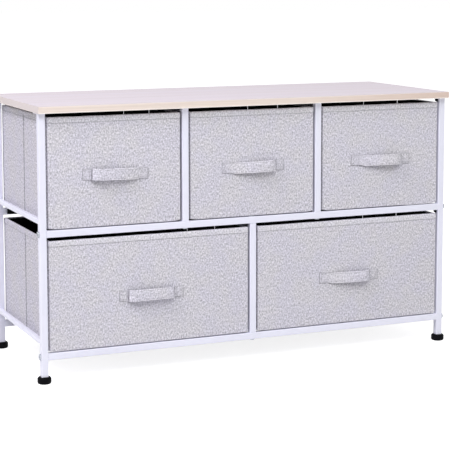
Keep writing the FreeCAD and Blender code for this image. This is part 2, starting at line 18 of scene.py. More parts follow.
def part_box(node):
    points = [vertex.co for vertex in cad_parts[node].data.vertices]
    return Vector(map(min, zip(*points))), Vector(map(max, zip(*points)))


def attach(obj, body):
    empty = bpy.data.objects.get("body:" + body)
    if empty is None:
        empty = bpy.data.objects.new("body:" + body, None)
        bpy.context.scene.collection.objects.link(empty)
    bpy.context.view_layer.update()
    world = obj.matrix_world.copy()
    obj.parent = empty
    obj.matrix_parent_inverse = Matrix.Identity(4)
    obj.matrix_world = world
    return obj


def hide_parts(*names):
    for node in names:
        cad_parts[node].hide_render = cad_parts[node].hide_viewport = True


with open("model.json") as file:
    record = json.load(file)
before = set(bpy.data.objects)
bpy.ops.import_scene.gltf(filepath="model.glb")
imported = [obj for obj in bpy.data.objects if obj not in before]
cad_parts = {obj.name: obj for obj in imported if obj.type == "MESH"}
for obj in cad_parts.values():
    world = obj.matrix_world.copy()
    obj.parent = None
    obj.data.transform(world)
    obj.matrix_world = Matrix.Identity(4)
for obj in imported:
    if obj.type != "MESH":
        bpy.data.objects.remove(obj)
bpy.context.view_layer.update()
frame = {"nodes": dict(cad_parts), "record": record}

# %% [markdown]
# ## Camera
#
# The view is from the front left, a little above the top board. A long lens, about 122 mm on a
# 36 mm sensor, keeps the tubes nearly parallel. A camera could be aimed with a constraint, but that
# leaves no room for a small roll, so this one is turned by yaw, pitch and roll. A lens shift keeps
# the pitch low, so that the posts stay nearly upright in the picture.

# %% Camera
CAMERA_PLACE = (-1.40087, -3.24847, 0.86775)
CAMERA_YAW = 0.40960
CAMERA_PITCH = 0.10800
CAMERA_ROLL = -0.00160
LENS_MM = 122.018
LENS_SHIFT = -0.1885


def aimed_matrix(place, yaw, pitch, roll):
    """A camera matrix: yaw to the right of +Y, pitch downwards and roll, in radians."""
    level = Vector((math.sin(yaw), math.cos(yaw), 0))
    right = Vector((math.cos(yaw), -math.sin(yaw), 0))
    forward = level * math.cos(pitch) - Vector((0, 0, math.sin(pitch)))
    up = Vector((0, 0, math.cos(pitch))) + level * math.sin(pitch)
    across = right * math.cos(roll) + up * math.sin(roll)
    upward = up * math.cos(roll) - right * math.sin(roll)
    turn = Matrix((across, upward, -forward)).transposed().to_4x4()
    return Matrix.Translation(place) @ turn


lens = bpy.data.cameras.new("camera")
lens.lens = LENS_MM
lens.sensor_width = 36.0
lens.shift_y = LENS_SHIFT
lens.clip_end = 100.0
camera = bpy.data.objects.new("camera", lens)
camera.matrix_world = aimed_matrix(CAMERA_PLACE, CAMERA_YAW, CAMERA_PITCH, CAMERA_ROLL)
bpy.context.collection.objects.link(camera)
bpy.context.scene.camera = camera
print("camera at", [round(value, 3) for value in camera.location])

# %% [markdown]
# ## Small helpers
#
# Finishes are node trees. They could be wired by hand in the shader editor, but a script can be
# read and run again, so one function adds a node, sets it up and links it. Colours are written the
# way a paint chart gives them, as sRGB hex, and one function turns them to the linear values that
# Blender mixes light with.

# %% Helpers for colours and nodes


def linear(hex_colour):
    """A linear RGBA colour from an sRGB hex string such as "#E9EAF7"."""
    channels = [int(hex_colour[i : i + 2], 16) / 255 for i in (1, 3, 5)]
    return [c / 12.92 if c <= 0.04045 else ((c + 0.055) / 1.055) ** 2.4 for c in channels] + [1.0]


def add(tree, kind, inputs=(), out=None, **settings):
    """Adds a node, sets its properties, and sets or links its inputs, given by name or number.
    Returns the node, or the one output that is asked for by name or number."""
    node = tree.nodes.new("ShaderNode" + kind)
    for name, value in settings.items():
        setattr(node, name, value)
    for name, value in dict(inputs).items():
        if isinstance(value, bpy.types.NodeSocket):
            tree.links.new(value, node.inputs[name])
        else:
            node.inputs[name].default_value = value
    return node if out is None else node.outputs[out]


def new_finish(name, **shader_values):
    """A material with a Principled shader. Returns the material, its tree and the shader."""
    finish = bpy.data.materials.new(name)
    finish.use_nodes = True
    tree = finish.node_tree
    shader = tree.nodes["Principled BSDF"]
    for socket, value in shader_values.items():
        shader.inputs[socket.replace("_", " ")].default_value = value
    return finish, tree, shader


print("helpers ready; mid grey is", round(linear("#808080")[0], 3), "in linear light")

# %% [markdown]
# ## Studio: sky and floor
#
# A white sweep: a pale floor under a white sky. A curved paper backdrop would look the same from
# the front, but its bend shows from other sides, so the floor is flat and runs far out. It adds
# light of its own for the camera only: it reads as white paper and keeps a faint shadow.

# %% Sky and floor
SKY_LIGHT = 0.44
FLOOR_GLOW = 0.80
FLOOR_REACH = 30.0


def seen_directly(tree):
    """1 for rays that see a surface straight, in a mirror or through glass, and 0 for other rays."""
    rays = add(tree, "LightPath").outputs
    seen = rays["Is Camera Ray"]
    for name in ("Is Glossy Ray", "Is Transmission Ray"):
        seen = add(tree, "Math", {0: seen, 1: rays[name]}, 0, operation="MAXIMUM")
    return seen


sky = bpy.data.worlds.new("studio_sky")
bpy.context.scene.world = sky
sky.use_nodes = True
sky_tree = sky.node_tree
sky_range = {"Value": seen_directly(sky_tree), "To Min": SKY_LIGHT, "To Max": 1.0}
background = sky_tree.nodes["Background"]
background.inputs["Color"].default_value = linear("#FFFFFF")
sky_tree.links.new(add(sky_tree, "MapRange", sky_range, "Result"), background.inputs["Strength"])

paper, paper_tree, paper_shader = new_finish(
    "white_paper",
    Roughness=0.9,
    Specular_IOR_Level=0.0,
    Base_Color=linear("#D9D9D9"),
    Emission_Color=linear("#FFFFFF"),
)
glow_range = {"Value": seen_directly(paper_tree), "To Min": 0.0, "To Max": FLOOR_GLOW}
paper_glow = add(paper_tree, "MapRange", glow_range, "Result")
paper_tree.links.new(paper_glow, paper_shader.inputs["Emission Strength"])

floor_mesh = bpy.data.meshes.new("studio_floor")
floor_corners = [(x, y, 0) for x, y in ((-1, -1), (1, -1), (1, 1), (-1, 1))]
floor_mesh.from_pydata([Vector(c) * FLOOR_REACH for c in floor_corners], [], [(0, 1, 2, 3)])
floor_mesh.materials.append(paper)
studio_floor = bpy.data.objects.new("studio_floor", floor_mesh)
bpy.context.collection.objects.link(studio_floor)
print("sky light", SKY_LIGHT, "over a floor", 2 * FLOOR_REACH, "m wide")

# %% [markdown]
# ## Studio: lamps
#
# A big soft key lamp hangs high in front. A second soft lamp, high on the left, gives the side its
# own light and the top board's overhang its shadow. A sun lamp would cut hard shadows and the sky
# alone gives hardly any, so both are area lamps. The key hangs well away, so that both ends of the
# dresser are lit alike.

# %% Lamps
KEY_WATTS, LEFT_WATTS = 130.0, 66.0


def hang_lamp(name, place, target, side, watts, colour):
    """A soft square lamp that shines at the target. Places and the lamp's side are in metres."""
    lamp = bpy.data.lights.new(name, "AREA")
    lamp.shape = "SQUARE"
    lamp.size = side
    lamp.energy = watts
    lamp.color = linear(colour)[:3]
    hung = bpy.data.objects.new(name, lamp)
    hung.location = place
    aim = Vector(target) - hung.location
    hung.rotation_euler = aim.to_track_quat("-Z", "Y").to_euler()
    bpy.context.collection.objects.link(hung)


hang_lamp("key_lamp", (-0.5, -3.9, 4.3), (0.0, 0.0, 0.35), 2.4, KEY_WATTS, "#FFFFFF")
hang_lamp("left_lamp", (-2.5, -1.0, 3.0), (-0.4, 0.0, 0.3), 0.9, LEFT_WATTS, "#F8F3FF")

bpy.context.scene.view_settings.view_transform = "Standard"
print("key lamp", KEY_WATTS, "W, left lamp", LEFT_WATTS, "W")

# %% [markdown]
# ## White powder-coated steel
#
# Square steel tube, sprayed with polyester powder and baked. It is a cool white, semi-gloss, with
# the faint orange-peel ripple of melted powder, about 2 mm from crest to crest. The ripple could be
# sculpted, but it is only hundredths of a millimetre deep, so a bump is enough. The small tabs
# under the board get the same coat. From here on sizes are written in millimetres, and a function
# gives them to Blender in metres.

# %% Powder coat


def mm(value):
    """Millimetres as metres."""
    return value / 1000


def per_mm(size):
    """The texture scale, in repeats per metre, of a pattern whose cells are this many mm wide."""
    return 1000 / size


# A Mix node has its own sockets for each kind of data, and the colour ones go by these numbers
A, B = 6, 7
COLOURS = {"out": 2, "data_type": "RGBA"}


def powder_coat():
    finish, tree, shader = new_finish("white_powder_coat", Roughness=0.38, IOR=1.5)
    place = add(tree, "TexCoord", out="Object")
    cloud = add(tree, "TexNoise", {"Vector": place, "Scale": per_mm(120), "Detail": 2.0}, "Fac")
    tone = add(tree, "MapRange", {"Value": cloud, "From Min": 0.3, "From Max": 0.7}, "Result")
    colour = add(tree, "Mix", {0: tone, A: linear("#EAEBF8"), B: linear("#EEEFFB")}, **COLOURS)
    tree.links.new(colour, shader.inputs["Base Color"])
    peel = add(tree, "TexNoise", {"Vector": place, "Scale": per_mm(2.2), "Detail": 1.0}, "Fac")
    bump = add(tree, "Bump", {"Height": peel, "Distance": mm(0.03)}, "Normal")
    tree.links.new(bump, shader.inputs["Normal"])
    return finish


STEEL = powder_coat()
print("made", STEEL.name)

# %% [markdown]
# ## Light oak melamine board
#
# Particle board under printed melamine paper, with the same pattern glued round the edges as a
# thin band. The print has fine straight grain along the board and a few broad pale bands. The
# flat top has a cool cast, a painted reflection of the sky on its hard satin surface. The edge band
# is warmer. It is painted darker towards its right end and greyer on the board's two short ends,
# both painted shade, and its trimmed lips get pale lines, painted highlights. A scanned wood image
# would be the usual way, but a printed grain is plain enough to draw with two long stretched
# noises, one fine and one broad.

# %% Board finish


def light_oak_melamine():
    finish, tree, shader = new_finish("light_oak_melamine", Roughness=0.42, IOR=1.5)
    coordinates = add(tree, "TexCoord").outputs
    # grain lines about 3 mm wide and 400 mm long, and bands about 30 mm wide
    stretch = {"Vector": coordinates["Object"], "Scale": (0.008, 1.0, 1.0)}
    grain = add(tree, "Mapping", stretch, 0)
    fine = add(tree, "TexNoise", {"Vector": grain, "Scale": per_mm(3.0), "Detail": 3.0}, "Fac")
    broad = add(tree, "TexNoise", {"Vector": grain, "Scale": per_mm(28.0), "Detail": 1.0}, "Fac")
    lines = add(tree, "MapRange", {"Value": fine, "From Min": 0.32, "From Max": 0.68}, "Result")
    bands = add(tree, "MapRange", {"Value": broad, "From Min": 0.35, "From Max": 0.65}, "Result")
    # the band's places, as shares of the board's length and thickness
    where = add(tree, "SeparateXYZ", {0: coordinates["Generated"]}).outputs
    # painted shade towards the band's right end, and painted highlights along its two lips
    right_end_shade = add(tree, "MapRange", {"Value": where["X"], "From Min": 0.6, "From Max": 1.0}, "Result")
    low_lip_highlight = add(tree, "MapRange", {"Value": where["Z"], "From Min": 0.15, "From Max": 0.08}, "Result")
    high_lip_highlight = add(tree, "MapRange", {"Value": where["Z"], "From Min": 0.92, "From Max": 0.97}, "Result")
    facing = add(tree, "SeparateXYZ", {0: coordinates["Normal"]}).outputs
    sideways = add(tree, "Math", {0: facing["X"]}, 0, operation="ABSOLUTE")
    # the board's two short ends, which get painted shade
    ends = add(tree, "MapRange", {"Value": sideways, "From Min": 0.45, "From Max": 0.75}, "Result")
    upward = add(tree, "MapRange", {"Value": facing["Z"], "From Min": 0.45, "From Max": 0.75}, "Result")
    # each tone lies over the ones before it, where its pattern shows. The edge band is painted
    # darker and warmer towards its right end and greyer on the board's two short ends, painted
    # shade, and pale at its lips, painted highlights. The top's cool cast is a painted reflection
    top, edge = linear("#BFB3B9"), linear("#E3D5C9")
    for pattern, tone in ((lines, "#DFD4D9"), (bands, "#D4CAD4")):
        top = add(tree, "Mix", {0: pattern, A: top, B: linear(tone)}, **COLOURS)
    for pattern, tone in (
        (lines, "#EFE2D7"),
        (bands, "#EBDED2"),
        (right_end_shade, "#DBC6B8"),
        (low_lip_highlight, "#FAF2EA"),
        (high_lip_highlight, "#F0E7E4"),
        (ends, "#DDD2CE"),
    ):
        edge = add(tree, "Mix", {0: pattern, A: edge, B: linear(tone)}, **COLOURS)
    # the top, with its painted sky reflection, over the edge band, by which way a face looks
    colour = add(tree, "Mix", {0: upward, A: edge, B: top}, **COLOURS)
    tree.links.new(colour, shader.inputs["Base Color"])
    bump = add(tree, "Bump", {"Height": fine, "Distance": mm(0.05)}, "Normal")
    tree.links.new(bump, shader.inputs["Normal"])
    return finish


BOARD = light_oak_melamine()
print("made", BOARD.name)

# %% [markdown]
# ## Black plastic and zinc
#
# The floor cups and the plugs in the tube ends are moulded polypropylene, dyed black, with a dull
# skin and a fine spark-eroded grain. Bolts and screws are steel with a thin bright zinc plating,
# so they are metals: the plating's cloudy crystals vary the roughness. One flat colour for each
# would pass from far off, but up close it looks like neither.

# %% Plastic and zinc


def black_polypropylene():
    finish, tree, shader = new_finish(
        "black_polypropylene", Roughness=0.5, IOR=1.49, Specular_IOR_Level=0.05
    )
    place = add(tree, "TexCoord", out="Object")
    grain = add(tree, "TexNoise", {"Vector": place, "Scale": per_mm(0.9), "Detail": 2.0}, "Fac")
    colour = add(tree, "Mix", {0: grain, A: linear("#07070A"), B: linear("#101014")}, **COLOURS)
    tree.links.new(colour, shader.inputs["Base Color"])
    bump = add(tree, "Bump", {"Height": grain, "Distance": mm(0.05)}, "Normal")
    tree.links.new(bump, shader.inputs["Normal"])
    return finish


def zinc_plate():
    finish, tree, shader = new_finish("zinc_plated_steel", Metallic=1.0)
    place = add(tree, "TexCoord", out="Object")
    cloud = add(tree, "TexNoise", {"Vector": place, "Scale": per_mm(1.5), "Detail": 2.0}, "Fac")
    colour = add(tree, "Mix", {0: cloud, A: linear("#9A9EA6"), B: linear("#B7BBC2")}, **COLOURS)
    tree.links.new(colour, shader.inputs["Base Color"])
    haze = {"Value": cloud, "From Min": 0.3, "From Max": 0.7, "To Min": 0.28, "To Max": 0.42}
    tree.links.new(add(tree, "MapRange", haze, "Result"), shader.inputs["Roughness"])
    return finish


PLASTIC = black_polypropylene()
ZINC = zinc_plate()
print("made", PLASTIC.name, "and", ZINC.name)

# %% [markdown]
# ## Boards inside the drawers
#
# Each drawer stands up because stiff boards are sewn between its cloth and its lining: bare
# hardboard in the front, grey card in the folding walls. They are hidden once the cloth is on and
# could be left plain, but are finished anyway, as a pressed-fibre mottling.

# %% Hardboard and card


def pressed_fibre(name, dark, light):
    finish, tree, shader = new_finish(name, Roughness=0.85)
    place = add(tree, "TexCoord", out="Object")
    fibres = add(tree, "TexNoise", {"Vector": place, "Scale": per_mm(1.2), "Detail": 4.0}, "Fac")
    tone = add(tree, "MapRange", {"Value": fibres, "From Min": 0.35, "From Max": 0.65}, "Result")
    colour = add(tree, "Mix", {0: tone, A: linear(dark), B: linear(light)}, **COLOURS)
    tree.links.new(colour, shader.inputs["Base Color"])
    bump = add(tree, "Bump", {"Height": fibres, "Distance": mm(0.06)}, "Normal")
    tree.links.new(bump, shader.inputs["Normal"])
    return finish


HARDBOARD = pressed_fibre("bare_hardboard", "#6B4E35", "#8A694B")
CARD = pressed_fibre("grey_card", "#8E8779", "#A39C8E")
print("made", HARDBOARD.name, "and", CARD.name)

# %% [markdown]
# ## Grey linen-look cloth
#
# The drawers and handles are one cloth: a plain weave of polyester yarn spun from pale and dark
# fibres, so that it looks like flecked linen. The real yarns are about 0.5 mm apart, too fine to
# show from across a room, and what the eye sees is where dark stretches of yarn bunch up. Real
# yarns could be modelled one by one, but that takes millions of faces. So the flecks are drawn as
# coarse as they need to show: dashes 2 mm wide and 5 mm long down the warp, and rounder spots of
# 3.5 mm, over slow patches that drift between a lavender and a neutral grey. The bump is a weave
# of 1.2 mm, coarser than the real one too. The pattern follows the cloth round every corner, so it
# uses the sewn pieces' own UV map, in metres.

# %% Cloth finish


def linen_look_cloth():
    finish, tree, shader = new_finish(
        "grey_linen_cloth", Roughness=0.92, Sheen_Weight=0.08, Sheen_Roughness=0.5
    )
    along = add(tree, "UVMap", out=0, uv_map="cloth")
    place = add(tree, "TexCoord", out="Object")
    # flecks: long thin dashes along the warp, and shorter, fuller ones of the weft
    warp = add(tree, "Mapping", {"Vector": along, "Scale": (1.0, 0.38, 1.0)}, 0)
    weft = add(tree, "Mapping", {"Vector": along, "Scale": (0.6, 0.6, 1.0)}, 0)
    dashes = add(tree, "TexNoise", {"Vector": warp, "Scale": per_mm(2.1), "Detail": 1.0}, "Fac")
    spots = add(tree, "TexNoise", {"Vector": weft, "Scale": per_mm(2.1), "Detail": 1.0}, "Fac")
    flecks = add(tree, "Math", {0: dashes, 1: spots}, 0, operation="ADD")
    pale = add(tree, "MapRange", {"Value": flecks, "From Min": 0.70, "From Max": 1.30}, "Result")
    colour = add(tree, "Mix", {0: pale, A: linear("#B2B1B7"), B: linear("#F7F6FB")}, **COLOURS)
    # slubs: thicker places in the yarn, 13 mm long and 2 mm high
    drawn = add(tree, "Mapping", {"Vector": along, "Scale": (0.17, 1.0, 1.0)}, 0)
    slubs = add(tree, "TexNoise", {"Vector": drawn, "Scale": per_mm(2.3), "Detail": 1.0}, "Fac")
    thick = add(tree, "MapRange", {"Value": slubs, "From Min": 0.3, "From Max": 0.7}, "Result")
    slub_tone = add(tree, "Mix", {0: thick, A: linear("#F4F4F5"), B: linear("#FFFFFF")}, **COLOURS)
    # slow patches, about 60 mm across
    patches = add(tree, "TexNoise", {"Vector": place, "Scale": per_mm(60.0), "Detail": 2.0}, "Fac")
    drift = add(tree, "MapRange", {"Value": patches, "From Min": 0.4, "From Max": 0.6}, "Result")
    tint = add(tree, "Mix", {0: drift, A: linear("#FBFAFF"), B: linear("#FDFCFC")}, **COLOURS)
    for tone in (slub_tone, tint):
        colour = add(tree, "Mix", {0: 1.0, A: colour, B: tone}, blend_type="MULTIPLY", **COLOURS)
    # sewn pieces say where to paint shade: in seams, folds, on the side walls and on the straps.
    # They also say where to paint light: on the hem band and on the straps' rolled rims
    for mark, tone in (("seam", "#55555C"), ("painted_light", "#FFFFFF")):
        amount = add(tree, "Attribute", out="Fac", attribute_name=mark)
        colour = add(tree, "Mix", {0: amount, A: colour, B: linear(tone)}, **COLOURS)
    tree.links.new(colour, shader.inputs["Base Color"])
    # weave: bands across and bands along, a yarn over and a yarn under
    waves = {"Vector": along, "Scale": math.pi / 10 * per_mm(1.2)}
    yarns = [add(tree, "TexWave", waves, "Fac", bands_direction=way) for way in ("X", "Y")]
    weave = add(tree, "Math", {0: yarns[0], 1: yarns[1]}, 0, operation="MULTIPLY")
    relief = add(tree, "Math", {0: weave, 1: flecks}, 0, operation="ADD")
    bump = add(tree, "Bump", {"Height": relief, "Distance": mm(0.12)}, "Normal")
    tree.links.new(bump, shader.inputs["Normal"])
    return finish


CLOTH = linen_look_cloth()
print("made", CLOTH.name)

# %% [markdown]
# ## Sewing thread
#
# The stitches are spun polyester, a shade darker than the cloth, with a soft gloss. Twisted plies
# could be modelled, but a stitch is about half a millimetre thick, so a fine mottling stands for
# the twist.

# %% Thread finish


def sewing_thread():
    finish, tree, shader = new_finish("grey_polyester_thread", Roughness=0.6, Sheen_Weight=0.1)
    place = add(tree, "TexCoord", out="Object")
    twist = add(tree, "TexNoise", {"Vector": place, "Scale": per_mm(0.6), "Detail": 1.0}, "Fac")
    colour = add(tree, "Mix", {0: twist, A: linear("#9C9BA3"), B: linear("#B5B4BC")}, **COLOURS)
    tree.links.new(colour, shader.inputs["Base Color"])
    return finish


THREAD = sewing_thread()
print("made", THREAD.name)

# %% [markdown]
# ## Black lining
#
# The inside is spun-bonded polypropylene: a thin black felt, hot-pressed with a grid of small
# points about 1.5 mm apart, which leave it dimpled. The points could be laid out as a plain grid,
# but the press isn't perfect, so they are cells with a little randomness. The loose base panel is
# wrapped in the same felt.

# %% Lining finish


def black_spunbond():
    finish, tree, shader = new_finish("black_spunbond", Roughness=0.85, Specular_IOR_Level=0.15)
    place = add(tree, "TexCoord", out="Object")
    press = {"Vector": place, "Scale": per_mm(1.5), "Randomness": 0.15}
    points = add(tree, "TexVoronoi", press, "Distance")
    dots = add(tree, "MapRange", {"Value": points, "From Min": 0.15, "From Max": 0.35}, "Result")
    felt = add(tree, "TexNoise", {"Vector": place, "Scale": per_mm(4.0), "Detail": 3.0}, "Fac")
    colour = add(tree, "Mix", {0: felt, A: linear("#08080A"), B: linear("#101012")}, **COLOURS)
    tree.links.new(colour, shader.inputs["Base Color"])
    bump = add(tree, "Bump", {"Height": dots, "Distance": mm(0.1)}, "Normal")
    tree.links.new(bump, shader.inputs["Normal"])
    return finish


LINING = black_spunbond()
print("made", LINING.name)

# %% [markdown]
# ## Finishing the hard pieces
#
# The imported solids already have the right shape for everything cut, moulded or turned, so they
# stay and only take a finish. The board's sharp edges get a 0.6 mm bevel, because a glued edge is
# scraped and catches a line of light. It could be cut into the mesh, but a modifier leaves the
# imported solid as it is.

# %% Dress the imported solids
SCRAPED_EDGE = 0.6
FINISH_OF_SLOT = {
    "frame_paint": STEEL,
    "board": BOARD,
    "cup": PLASTIC,
    "plug": PLASTIC,
    "zinc": ZINC,
    "fibre_board": HARDBOARD,
    "card": CARD,
    "lining": LINING,
    "cover_fabric": CLOTH,
    "handle_strap": CLOTH,
}

for subpart in frame["record"]["subparts"]:
    solid = frame["nodes"][subpart["node"]]
    finish = FINISH_OF_SLOT[subpart["material_slot"]]
    if subpart["node"].endswith("_base_board"):
        finish = LINING
    for slot in solid.material_slots:
        slot.link = "OBJECT"
        slot.material = finish

scraped_edge = frame["nodes"]["top_board"].modifiers.new("scraped_edge", "BEVEL")
scraped_edge.width = mm(SCRAPED_EDGE)
scraped_edge.segments = 2
scraped_edge.limit_method = "ANGLE"
scraped_edge.angle_limit = math.radians(60)

# %% [markdown]
# ## Rubber bumpers and the black shade strip
#
# Small black parts keep the drawers from knocking on the steel. A black strip along the front of
# the rear middle rail is painted shade: it darkens the rail where it is seen through the gaps
# between the drawers. A rubber bumper, 3 mm thick, sits inside each front post, one over each
# drawer. Cubes with a bevel modifier would do, but each kind is to be one piece, so every block is
# a cube pulled to size and bevelled before it joins the others.

# %% Soft blocks


def new_piece(name, points, faces, *finishes):
    """A new object made of points, in mm, and the faces between them."""
    mesh = bpy.data.meshes.new(name)
    mesh.from_pydata([mm(point) for point in points], [], faces)
    for finish in finishes:
        mesh.materials.append(finish)
    piece = bpy.data.objects.new(name, mesh)
    bpy.context.collection.objects.link(piece)
    return piece


def soft_block(points, faces, lo, hi, bevel):
    """Adds a block with rounded edges between two corners, in mm."""
    shape = bmesh.new()
    bmesh.ops.create_cube(shape, size=1.0)
    middle = [(low + high) / 2 for low, high in zip(lo, hi)]
    sizes = [high - low for low, high in zip(lo, hi)]
    for vertex in shape.verts:
        vertex.co = Vector([m + share * size for m, share, size in zip(middle, vertex.co, sizes)])
    bmesh.ops.bevel(shape, geom=shape.edges[:], offset=bevel, segments=2, affect="EDGES")
    shape.verts.index_update()
    first = len(points)
    points += [vertex.co.copy() for vertex in shape.verts]
    faces += [[first + vertex.index for vertex in face.verts] for face in shape.faces]
    shape.free()


def glue_on(name, blocks, bevel, finish):
    """One object made of soft blocks, fixed to the frame."""
    points, faces = [], []
    for lo, hi in blocks:
        soft_block(points, faces, lo, hi, bevel)
    piece = new_piece(name, points, faces, finish)
    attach(piece, "frame")
    return piece


def box_mm(node):
    """A node's box as two corners in mm."""
    return [[value * 1000 for value in corner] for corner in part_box(node)]


print("the rear middle rail runs from", box_mm("rear_middle_rail")[0][0], "mm")

# %% [markdown]
# The strip stops short of the rail's ends and of its edges. A bumper starts just over its drawer's
# rim and stands on the post's inner face. Their places could be typed in, but they are worked out
# from the boxes of the rail, the posts and the drawers, so that they stay with them.

# %% Black shade strip and bumpers
STRIP_THICK, STRIP_FROM_END, STRIP_FROM_EDGE = 2.2, 9, 1.5
BUMPER_THICK = 3.0
# how far a bumper starts and ends over the rim, and how far behind the post's front and rear faces
BUMPER_LOW, BUMPER_HIGH = 0.6, 6.2
BUMPER_FRONT, BUMPER_REAR = 5.5, 1.5

rail_lo, rail_hi = box_mm("rear_middle_rail")
strip_lo = (rail_lo[0] + STRIP_FROM_END, rail_lo[1] - STRIP_THICK, rail_lo[2] + STRIP_FROM_EDGE)
strip_hi = (rail_hi[0] - STRIP_FROM_END, rail_lo[1], rail_hi[2] - STRIP_FROM_EDGE)
# a black strip over the rail's front: painted shade, where the rail shows through the gaps
black_shade_strip = glue_on("black_shade_strip", [(strip_lo, strip_hi)], 0.6, LINING)

bumper_boxes = []
for side in ("left", "right"):
    post_lo, post_hi = box_mm("front_" + side + "_post")
    inner = post_hi[0] if side == "left" else post_lo[0] - BUMPER_THICK
    for level in ("top_", "bottom_"):
        rim = box_mm(level + side + "_cover")[1][2]
        bumper_lo = (inner, post_lo[1] + BUMPER_FRONT, rim + BUMPER_LOW)
        bumper_hi = (inner + BUMPER_THICK, post_hi[1] + BUMPER_REAR, rim + BUMPER_HIGH)
        bumper_boxes.append((bumper_lo, bumper_hi))
bumpers = glue_on("rubber_bumpers", bumper_boxes, 0.8, PLASTIC)
print("foam strip:", len(black_shade_strip.data.polygons), "faces; bumpers:", len(bumpers.data.polygons))

# %% [markdown]
# ## Sewing a drawer: stations along a wall
#
# The cloth of a drawer is one skin round four walls. It is built as a grid: columns go round the
# drawer in plan, and rows go up inside the rim, over it and down outside. Fine detail, such as a
# stitch groove, needs points close together, and plain cloth doesn't. An even grid would need them
# close everywhere. So each run of cloth gets stations: even steps, with extra ones near its ends
# and on both sides of each seam.

# %% Stations
# how far from an end or a seam the extra stations are, and the least distance between two
NEAR = (0.6, 1.4, 2.4, 3.8)
LEAST_STEP = 0.3


def stations(length, step, seams=()):
    """Distances from 0 to length in mm: even steps, and finer by the ends and the seams."""
    count = max(1, round(length / step))
    places = [length * i / count for i in range(count + 1)]
    places += list(NEAR) + [length - near for near in NEAR]
    for seam in seams:
        places += [seam] + [seam + side * near for near in NEAR for side in (-1, 1)]
    kept = [0.0]
    for place in sorted(places):
        if kept[-1] + LEAST_STEP < place < length - LEAST_STEP:
            kept.append(place)
    return kept + [length]


print("stations on a 30 mm run:", [round(s, 1) for s in stations(30, 10, [15])])

# %% [markdown]
# ## Sewing a drawer: the plan
#
# Seen from above the skin is a rectangle with rounded corners. A solidify modifier could give it
# its thickness, but the front wall is thicker than the other three, because it holds a hardboard
# and they hold card. So each column keeps its point on the outside and the matching point on the
# clear inside, and a share between 0 and 1 places a point anywhere between them.

# %% Plan of the skin
FRONT_WALL, OTHER_WALL = 7.5, 4.5
OUTER_CORNER, INNER_CORNER = 1.6, 1.0
COLUMN_STEP = 5.0
# the side walls are cut with the slubs lying along them, so their flecks are longer
CLOTH_SQUEEZE = {"left": 0.7, "right": 0.7}


def plan_columns(left, right, front, rear):
    """Columns round a drawer, anticlockwise from its front left corner. All in mm."""
    outer = [Vector(c) for c in ((left, front), (right, front), (right, rear), (left, rear))]
    side, nose = Vector((OTHER_WALL, 0)), Vector((0, FRONT_WALL))
    tail = Vector((0, -OTHER_WALL))
    inner = [outer[0] + side + nose, outer[1] - side + nose, outer[2] - side + tail, outer[3] + side + tail]
    outward = [Vector(d) for d in ((0, -1), (1, 0), (0, 1), (-1, 0))]
    columns, travelled, cloth_run = [], 0.0, 0.0
    for number, wall in enumerate(("front", "right", "rear", "left")):
        after = (number + 1) % 4
        out, next_out = outward[number], outward[after]
        squeeze = CLOTH_SQUEEZE.get(wall, 1.0)
        length = (outer[after] - outer[number]).length
        direction = (outer[after] - outer[number]) / length
        straight = length - 2 * OUTER_CORNER
        folds = [straight / 2] if wall in ("left", "right") else []
        inner_start = inner[number] + direction * INNER_CORNER
        inner_end = inner[after] - direction * INNER_CORNER
        for place in stations(straight, COLUMN_STEP, folds):
            column = {"wall": wall, "place": place, "straight": straight, "out": out}
            column["outer"] = outer[number] + direction * (OUTER_CORNER + place)
            column["inner"] = inner_start.lerp(inner_end, place / straight)
            column["run"] = travelled + place
            column["cut"] = cloth_run + place * squeeze
            columns.append(column)
        travelled += straight
        cloth_run += straight * squeeze
        outer_centre = outer[after] - (out + next_out) * OUTER_CORNER
        inner_centre = inner[after] - (out + next_out) * INNER_CORNER
        for degrees in (22.5, 45.0, 67.5):
            angle = math.radians(degrees)
            turned = out * math.cos(angle) + next_out * math.sin(angle)
            column = {"wall": "corner", "place": 0.0, "straight": 1.0, "out": turned}
            column["outer"] = outer_centre + turned * OUTER_CORNER
            column["inner"] = inner_centre + turned * INNER_CORNER
            column["run"] = travelled + OUTER_CORNER * angle
            column["cut"] = cloth_run + OUTER_CORNER * angle
            columns.append(column)
        travelled += OUTER_CORNER * math.pi / 2
        cloth_run += OUTER_CORNER * math.pi / 2
    return columns


print(len(plan_columns(-148.2, 148.2, -177.5, 172.5)), "columns round a narrow drawer")

# %% [markdown]
# ## Sewing a drawer: how cloth stands off its board
#
# Flat boards would look like painted wood. What says cloth is small: the turned-in hem makes a
# double band above its row of stitches, the stitches pull the cloth in and pucker it, the panel
# swells a little between its edges, and the side walls have a sunk fold halfway back, where the
# empty drawer folds flat. A cloth simulation gives soft bags more than stretched panels, so the
# functions below add these up by rule, in millimetres. Noise takes a seed, so that each drawer
# differs and every run of the script gives the same drawers.

# %% Bells, ramps and ripples


def bell(distance, width):
    """1 at distance 0, falling smoothly to nothing over a few widths."""
    return math.exp(-((distance / width) ** 2))


def ramp(value, start, end):
    """0 before start and 1 after end, smoothly."""
    share = min(1.0, max(0.0, (value - start) / (end - start)))
    return share * share * (3 - 2 * share)


def ripple(seed, run, down, along, across):
    """Seeded noise between about -1 and 1, with waves this many mm long along and across."""
    return noise.noise(Vector((run / along, down / across, seed)))


def swell(share):
    """How much of its puff a panel has at this share of its length: none at the edges."""
    return 1 - abs(2 * share - 1) ** 5


print("a ramp from 0 to 10 is", ramp(3, 0, 10), "at 3, and a bell 5 wide is", round(bell(3, 5), 3))

# %% [markdown]
# The hem is 12.6 mm deep and half a millimetre thicker than the panel below it. The stitches under
# it sink in by 0.6 mm, and the fold in a side wall by 3 mm. Each side wall is two panels, one on
# each side of its fold, so it swells twice.

# %% Cloth relief
HEM = 12.6
HEM_THICKNESS = 0.55
STITCH_PULL = 0.6
PUCKER, SLOW_WAVE = 0.22, 0.30
PUFF, SIDE_PUFF = 0.7, 1.2
FOLD_DEPTH = 3.0


